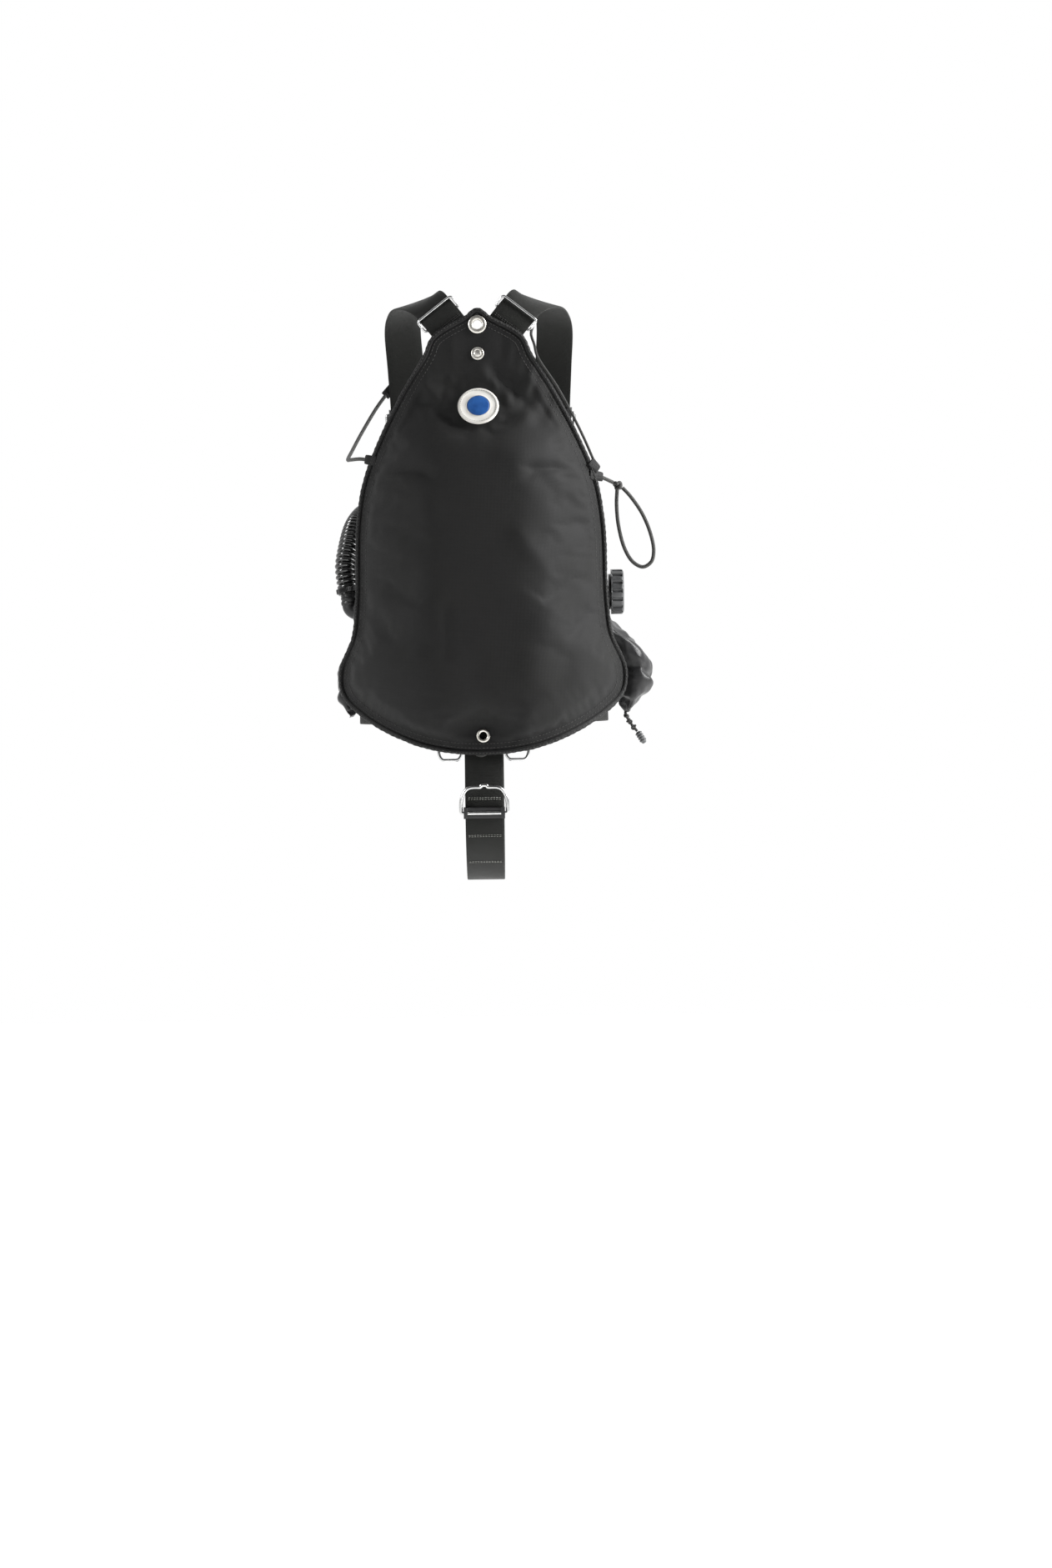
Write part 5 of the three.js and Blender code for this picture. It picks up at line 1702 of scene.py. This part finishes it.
def hose():
    """Corrugated hose: rounded ribs with plain cuffs at both ends."""
    rows = spaced(HOSE, RIB_PITCH / 8)
    total = rows[-1][1]
    radii = []
    for _, distance in rows:
        cuff = min(smoothstep(9, 13, distance), smoothstep(9, 13, total - distance))
        rib = abs(math.sin(math.pi * distance / RIB_PITCH)) ** 0.7
        radii.append(HOSE_R - cuff * 3.2 * (1 - rib) - (1 - cuff) * 0.4)
    shape = tube([p for p, _ in rows], radii, 40, distances=[d for _, d in rows])
    piece("hose_corrugation", shape, "root", EPDM, ["corrugated_hose"], 70)


def tie(name, node, share, turn_head):
    """A cable tie round a hose cuff: a toothed band, its head and a clipped tail."""
    rows = spaced(HOSE, 0.5)
    point, _ = rows[int(share * (len(rows) - 1))]
    after = rows[min(int(share * (len(rows) - 1)) + 2, len(rows) - 1)][0]
    before = rows[max(int(share * (len(rows) - 1)) - 2, 0)][0]
    along = (after - before).normalized()
    side = along.cross(Vector((0, 1, 0.2))).normalized()
    place = frame_at(point, side, along.cross(side), along)
    inner = HOSE_R + 0.2

    def teeth(angle, r, h):
        return 0.25 * math.sin(angle * 60) if r > inner + 0.8 else 0

    band = turned(
        [(inner, -3), (inner + 1.5, -3), (inner + 1.5, 3), (inner, 3), (inner, -3)],
        place,
        240,
        0.3,
        teeth,
    )
    at = place @ Matrix.Rotation(turn_head, 4, "Z") @ Matrix.Translation((inner + 1.6, 0, 0))
    head = solid_block(5.0, 7.0, 8.0, at, 0.8)
    tail = solid_block(1.2, 9.0, 4.6, at @ Matrix.Translation((0.4, 6.5, 0)), 0.4)
    piece(name, joined(band, head, tail), "root", ACETAL, [node], 40)


def solid_block(width, depth, height, place, ease):
    """A block with rounded upright edges and eased rims."""
    half = (width / 2, depth / 2)
    corners = [(-half[0], -half[1]), (half[0], -half[1]), (half[0], half[1]), (-half[0], half[1])]
    outline = eased_corners(corners, ease * 1.4, 4)
    rings = []
    edge = height / 2
    for shrink, z in ((ease, -edge), (0, ease - edge), (0, edge - ease), (ease, edge)):
        rings.append(
            [
                place @ Vector((p.x * (1 - shrink / half[0]), p.y * (1 - shrink / half[1]), z))
                for p in outline
            ]
        )
    return loft(rings)


def elbow():
    """The elbow: a clamped flange, a bent neck with rings, and a cuff for the hose."""
    flange_place = frame_at(
        Vector((-164, 92, 126)), Vector((0, 0, 1)), Vector((0, 1, 0)), Vector((-1, 0, 0))
    )
    flange = turned(
        [
            (8, 0),
            (21, 0),
            (21, 1.8),
            (20, 2.6),
            (16.5, 2.8),
            (16, 4.2),
            (15, 6),
            (14, 7.5),
            (12, 9),
            (8, 9),
            (8, 0),
        ],
        flange_place,
        72,
    )
    mouth = Vector(HOSE_ROUTE[0])
    out = tangent(HOSE, 0)
    bend = centripetal(
        [
            (-165, 92, 126.5),
            (-170.5, 92, 127),
            (-175.6, 91.9, 130.5),
            (-177.1, 91.8, 137),
            tuple(mouth - out * 5),
            tuple(mouth - out * 0.5),
        ]
    )
    rows = spaced(bend, 1.0)
    total = rows[-1][1]
    radii = []
    for _, d in rows:
        ring = 0.9 if abs(d - total + 6.5) < 1.6 or abs(d - total + 12) < 1.2 else 0
        radii.append(12.2 - 1.4 * math.exp(-(((d - total * 0.5) / 8) ** 2)) + ring)
    neck = tube([p for p, _ in rows], radii, 40)
    lugs = []
    for k in range(8):
        at = flange_place @ Matrix.Rotation(k / 8 * math.tau, 4, "Z")
        lugs.append(solid_block(3.4, 3.0, 2.0, at @ Matrix.Translation((18.4, 0, 3.0)), 0.5))
    shape = joined(flange, neck, *lugs)
    piece("hose_elbow_moulding", shape, "root", ACETAL, ["hose_elbow"], 40)


def inflator_frame():
    along = tangent(HOSE, 1)
    out = Vector((0, 1, 0))
    out = (out - along * out.dot(along)).normalized()
    return frame_at(Vector(HOSE_ROUTE[-1]), out, along.cross(out), along)


def inflator():
    """The power inflator: barrel, side bosses, mouthpiece, buttons and air nipple."""
    place = inflator_frame()
    length, radius = 74.0, 14.0
    barrel = [(0, GAP), (radius - 3, GAP), (radius - 2, 1.2), (radius, 4)]
    for k in range(4):
        base = 8 + k * 2.6
        barrel += [(radius, base), (radius - 0.7, base + 0.6), (radius, base + 1.2)]
    barrel += [
        (radius, length - 14),
        (radius + 1.5, length - 10),
        (radius + 1.5, length - 1),
        (radius + 0.6, length),
        (7.1, length),
        (7.1, length - 15.7),
        (0, length - 15.7),
    ]

    def grip(angle, r, h):
        if r > radius + 1 and h > length - 9.5:
            return -0.7 * max(0.0, math.cos(angle * 20)) ** 0.5
        return 0

    def outward(height):
        turn = Matrix.Rotation(math.radians(90), 4, "Y")
        return place @ Matrix.Translation((0, 0, height)) @ turn

    boss = [(6.1, 4), (9, 4), (9, 18), (8.4, 19), (6.1, 19), (6.1, 7), (0, 7)]
    mouth_boss = [(5.5, 4), (9, 4), (9, 18), (8.4, 19), (5.5, 19), (5.5, 7), (0, 7)]
    shape = joined(
        turned(barrel, place, 120, 0.3, grip),
        turned(boss, outward(24), 56),
        turned(mouth_boss, outward(49), 56),
    )
    piece("inflator_moulding", shape, "root", ACETAL, ["inflator_body"], 40)
    button = [(0, 12), (6, 12), (6, 21.4), (5.2, 22.4), (3.4, 22.5), (2.6, 22.1), (0, 22)]
    piece(
        "inflate_button_cap",
        turned(button, outward(24), 48),
        "inflate_button",
        PLATED,
        ["inflate_button"],
    )
    top = length + 6
    press = [(0, length - 9), (7, length - 9), (7, top - 1.2), (5.8, top), (4.4, top)]
    press += [(3.4, top - 0.7), (0, top - 0.9)]
    piece(
        "deflate_button_cap",
        turned(press, place, 48),
        "deflate_button",
        FILLED,
        ["deflate_button"],
    )
    mouthpiece = [
        (6, 19.4),
        (9, 19.4),
        (9.2, 21),
        (8.2, 23),
        (8.2, 26.5),
        (9.2, 28),
        (11.8, 30.6),
        (12.2, 32.4),
        (11.6, 34),
        (6, 34),
        (6, 19.4),
    ]
    piece(
        "mouthpiece_moulding",
        turned(mouthpiece, outward(49), 56, 0.4),
        "root",
        SILICONE,
        ["mouthpiece"],
    )
    sideways = place @ Matrix.Translation((0, 0, 24)) @ Matrix.Rotation(math.radians(90), 4, "X")
    f = 14.4
    nipple = [
        (0, f),
        (5.5, f),
        (5.5, f + 4),
        (4, f + 4.8),
        (4, f + 9),
        (5, f + 9.8),
        (5, f + 13.4),
        (4.2, f + 14.6),
        (3.2, f + 15),
        (1.6, f + 15),
        (1.6, f + 13),
        (0, f + 13),
    ]
    piece(
        "air_nipple_turning",
        turned(nipple, sideways, 56, 0.2),
        "root",
        STEEL,
        ["air_nipple"],
    )


# ------------------------------------------------------------------ held cords

CHEST_BUNGEE = [
    (-148, 24, 322.5),
    (-158, 38, 325),
    (-172, 70, 327),
    (-178, 110, 331),
    (-174, 150, 346),
    (-160, 190, 378),
    (-142, 208, 410),
    (-129, 211, 428),
]
EDGE_CORD = [
    (74, -1, 495),
    (70.5, -9, 482),
    (74.5, -15, 467),
    (78, -17, 452),
    (105, -6.5, 410),
    (135.6, 13, 352),
    (156, 32.6, 306),
]
# Sewn tabs that hold cord ends: from, to, and outwards.
TABS = {
    "chest_bungee_low": ((-136.5, 17, 320), (-149, 25, 323), (-0.6, -0.8, 0)),
    "chest_bungee_high": ((-117, 212, 441), (-129, 211.5, 428), (-0.2, 0.98, 0.1)),
    "tank_bungee": ((146, 24, 299), (160, 38.5, 297), (0.7, -0.7, 0)),
    "edge_cord": ((147, 22, 317), (155, 32, 307), (0.6, -0.8, 0)),
}
LOW_BUNGEE = [
    (3, -12, -47),
    (8, -12, -58),
    (5, -12, -67),
    (-3, -12, -71),
    (-11, -12, -67),
    (-11, -12, -58),
    (-5, -12, -48),
]


def tab(name, foot, tip, out, half=6.5):
    """A short folded tape tab that swells round the cord's end, with a row of stitches."""
    foot, tip, out = Vector(foot), Vector(tip), Vector(out)
    along = (tip - foot).normalized()
    out = (out - along * out.dot(along)).normalized()
    across = along.cross(out)
    stations = [(0, 0.5, 0.9), (0.02, 0.8, 1), (0.4, 0.9, 1), (0.66, 2.3, 1)]
    stations += [(0.86, 3.2, 0.99), (1.02, 3.2, 0.97), (1.14, 2.0, 0.93)]
    rings = []
    for share, fat, broad in stations:
        centre = foot.lerp(tip, share)
        rings.append(
            [
                centre + across * (half * broad * rounded(math.cos(a))) + out * (fat * math.sin(a))
                for a in (k / 24 * math.tau for k in range(24))
            ]
        )
    girth = [k / 24 * 4 * half for k in range(25)]
    distances = [share * (tip - foot).length for share, _, _ in stations]
    piece(f"{name}_tab", loft(rings, False, girth, distances), "root", TAPE, smooth=50)
    spots = [
        (foot.lerp(tip, 0.34) + across * (k * 2.0) + out * 0.85, across, out) for k in (-2, -1, 0, 1, 2)
    ]
    piece(f"{name}_tab_tack", stitch(spots, 1.7, 0.3), "root", THREAD, smooth=60)


def rounded(value):
    """Squares off a circle's sideways reach, for a flat band's section."""
    return math.copysign(abs(value) ** 0.45, value)


def held_cords():
    """Cords that the vest holds at both ends, and the tabs that hold them."""
    for name, (foot, tip, out) in TABS.items():
        tab(name, foot, tip, out)
    cord_piece("chest_bungee_braid", CHEST_BUNGEE, BUNGEE_R, BUNGEE, stands_for=["chest_bungee"])
    cord_piece("edge_cord_braid", EDGE_CORD, THIN_R, LINE, stands_for=["edge_cord"])
    cord_piece("low_bungee_braid", LOW_BUNGEE, BUNGEE_R - 0.6, BUNGEE, stands_for=["low_bungee"])


# ------------------------------------------------------------------ plates and buckle


def plates_and_buckle():
    eased("lumbar_plate", "lumbar_plate_sheet", 0.8, PLATE)
    eased("shoulder_plate", "shoulder_plate_sheet", 0.8, PLATE)
    eased("buckle_frame", "buckle_frame_sheet", 0.5, PLATE)
    eased("buckle_pin", "buckle_pin_rod", 0.4, STEEL)
    eased("buckle_lever", "buckle_lever_sheet", 0.6, PLATE, "buckle_lever")


def inner_works():
    """The small pieces inside the valves keep their shapes and take their finishes."""
    finishes = {
        "valve_poppet": SILICONE,
        "valve_spring": STEEL,
        "inflate_spring": STEEL,
        "deflate_spring": STEEL,
    }
    for node, material in finishes.items():
        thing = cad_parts[node]
        thing.data.materials.clear()
        thing.data.materials.append(material)


# ------------------------------------------------------------------ studio


def studio():
    """A pale floor and three lights, in a room that is pale in front and dark behind the camera.

    The key light is large and stands on the wearer's right. The fill is weak, and the edge
    light only adds shine.
    """
    SCENE.view_settings.view_transform = "Standard"
    world = bpy.data.worlds.new("room")
    world.use_nodes = True
    tree = world.node_tree
    tree.nodes.clear()
    where = put(tree, "TexCoord").outputs["Generated"]
    split = put(tree, "SeparateXYZ", {"Vector": where})
    level = put(tree, "MapRange", {0: split.outputs[1], 1: -0.5, 2: 0.35, 3: 0.05, 4: 1.0})
    pale = put(tree, "Background", {"Color": colour("#ffffff"), "Strength": level.outputs[0]})
    output = put(tree, "OutputWorld")
    tree.links.new(pale.outputs[0], output.inputs[0])
    SCENE.world = world

    def softbox(name, place, aim, size, power, shine_only=False):
        data = bpy.data.lights.new(name, "AREA")
        data.shape = "RECTANGLE"
        data.size, data.size_y = size
        data.energy = power
        lamp = bpy.data.objects.new(name, data)
        SCENE.collection.objects.link(lamp)
        lamp.location = place
        lamp.visible_diffuse = not shine_only
        lamp.rotation_mode = "QUATERNION"
        lamp.rotation_quaternion = (Vector(aim) - Vector(place)).to_track_quat("-Z", "Y")

    softbox("key", (3.1, -0.5, 1.7), (0, 0, 0.2), (1.4, 2.2), 270)
    softbox("fill", (-0.6, -4.6, 1.2), (0, 0, 0.2), (1.8, 1.2), 1.5)
    softbox("edge", (-3.0, -1.6, 1.2), (0, 0, 0.1), (0.7, 1.8), 90, True)

    floor_mesh = bpy.data.meshes.new("floor")
    low = -0.98
    floor_mesh.from_pydata(
        [(-9, -9, low), (9, -9, low), (9, 9, low), (-9, 9, low)], [], [(0, 1, 2, 3)]
    )
    # Seamless paper, rolled: pale and even.
    paper, paper_tree, shader = surface(
        "seamless_paper_rolled",
        Roughness=0.9,
        Emission_Color=colour("#ffffff"),
        Emission_Strength=0.55,
    )
    fibre = put(paper_tree, "TexNoise", {"Scale": 40.0, "Detail": 4.0})
    paper_tree.links.new(
        shade(paper_tree, fibre.outputs[0], (0.3, "#e9e9e8"), (0.7, "#f0f0ef")),
        shader.inputs["Base Color"],
    )
    floor_mesh.materials.append(paper)
    floor = bpy.data.objects.new("floor", floor_mesh)
    SCENE.collection.objects.link(floor)


# ------------------------------------------------------------------ assembly

wing = wing_bag()
wing_seams(surface_of(wing))
edge_binding()
eyelet("top_eyelet_rolled", TOP_EYELET, 1.6, "top_grommet")
eyelet("low_eyelet_rolled", LOW_EYELET, 1.3, "low_grommet")
book_screw("wing_screw_turned", "wing_screw", SCREW_Z, WING_BACK, 8.5)
for label, height in (("spine", 24), ("crotch", -24)):
    book_screw(f"{label}_screw_turned", f"{label}_screw", height, BACK - WEB_T / 2, 7)
badge()
for wing_side in SIDES:
    lobe(wing_side)
harness()
steel_rings()
ladders()
dump_valve()
hose()
tie("hose_tie_lower", "hose_clamp_lower", 0.02, 2.2)
tie("hose_tie_upper", "hose_clamp_upper", 0.98, 1.0)
elbow()
inflator()
held_cords()
plates_and_buckle()
inner_works()
studio()
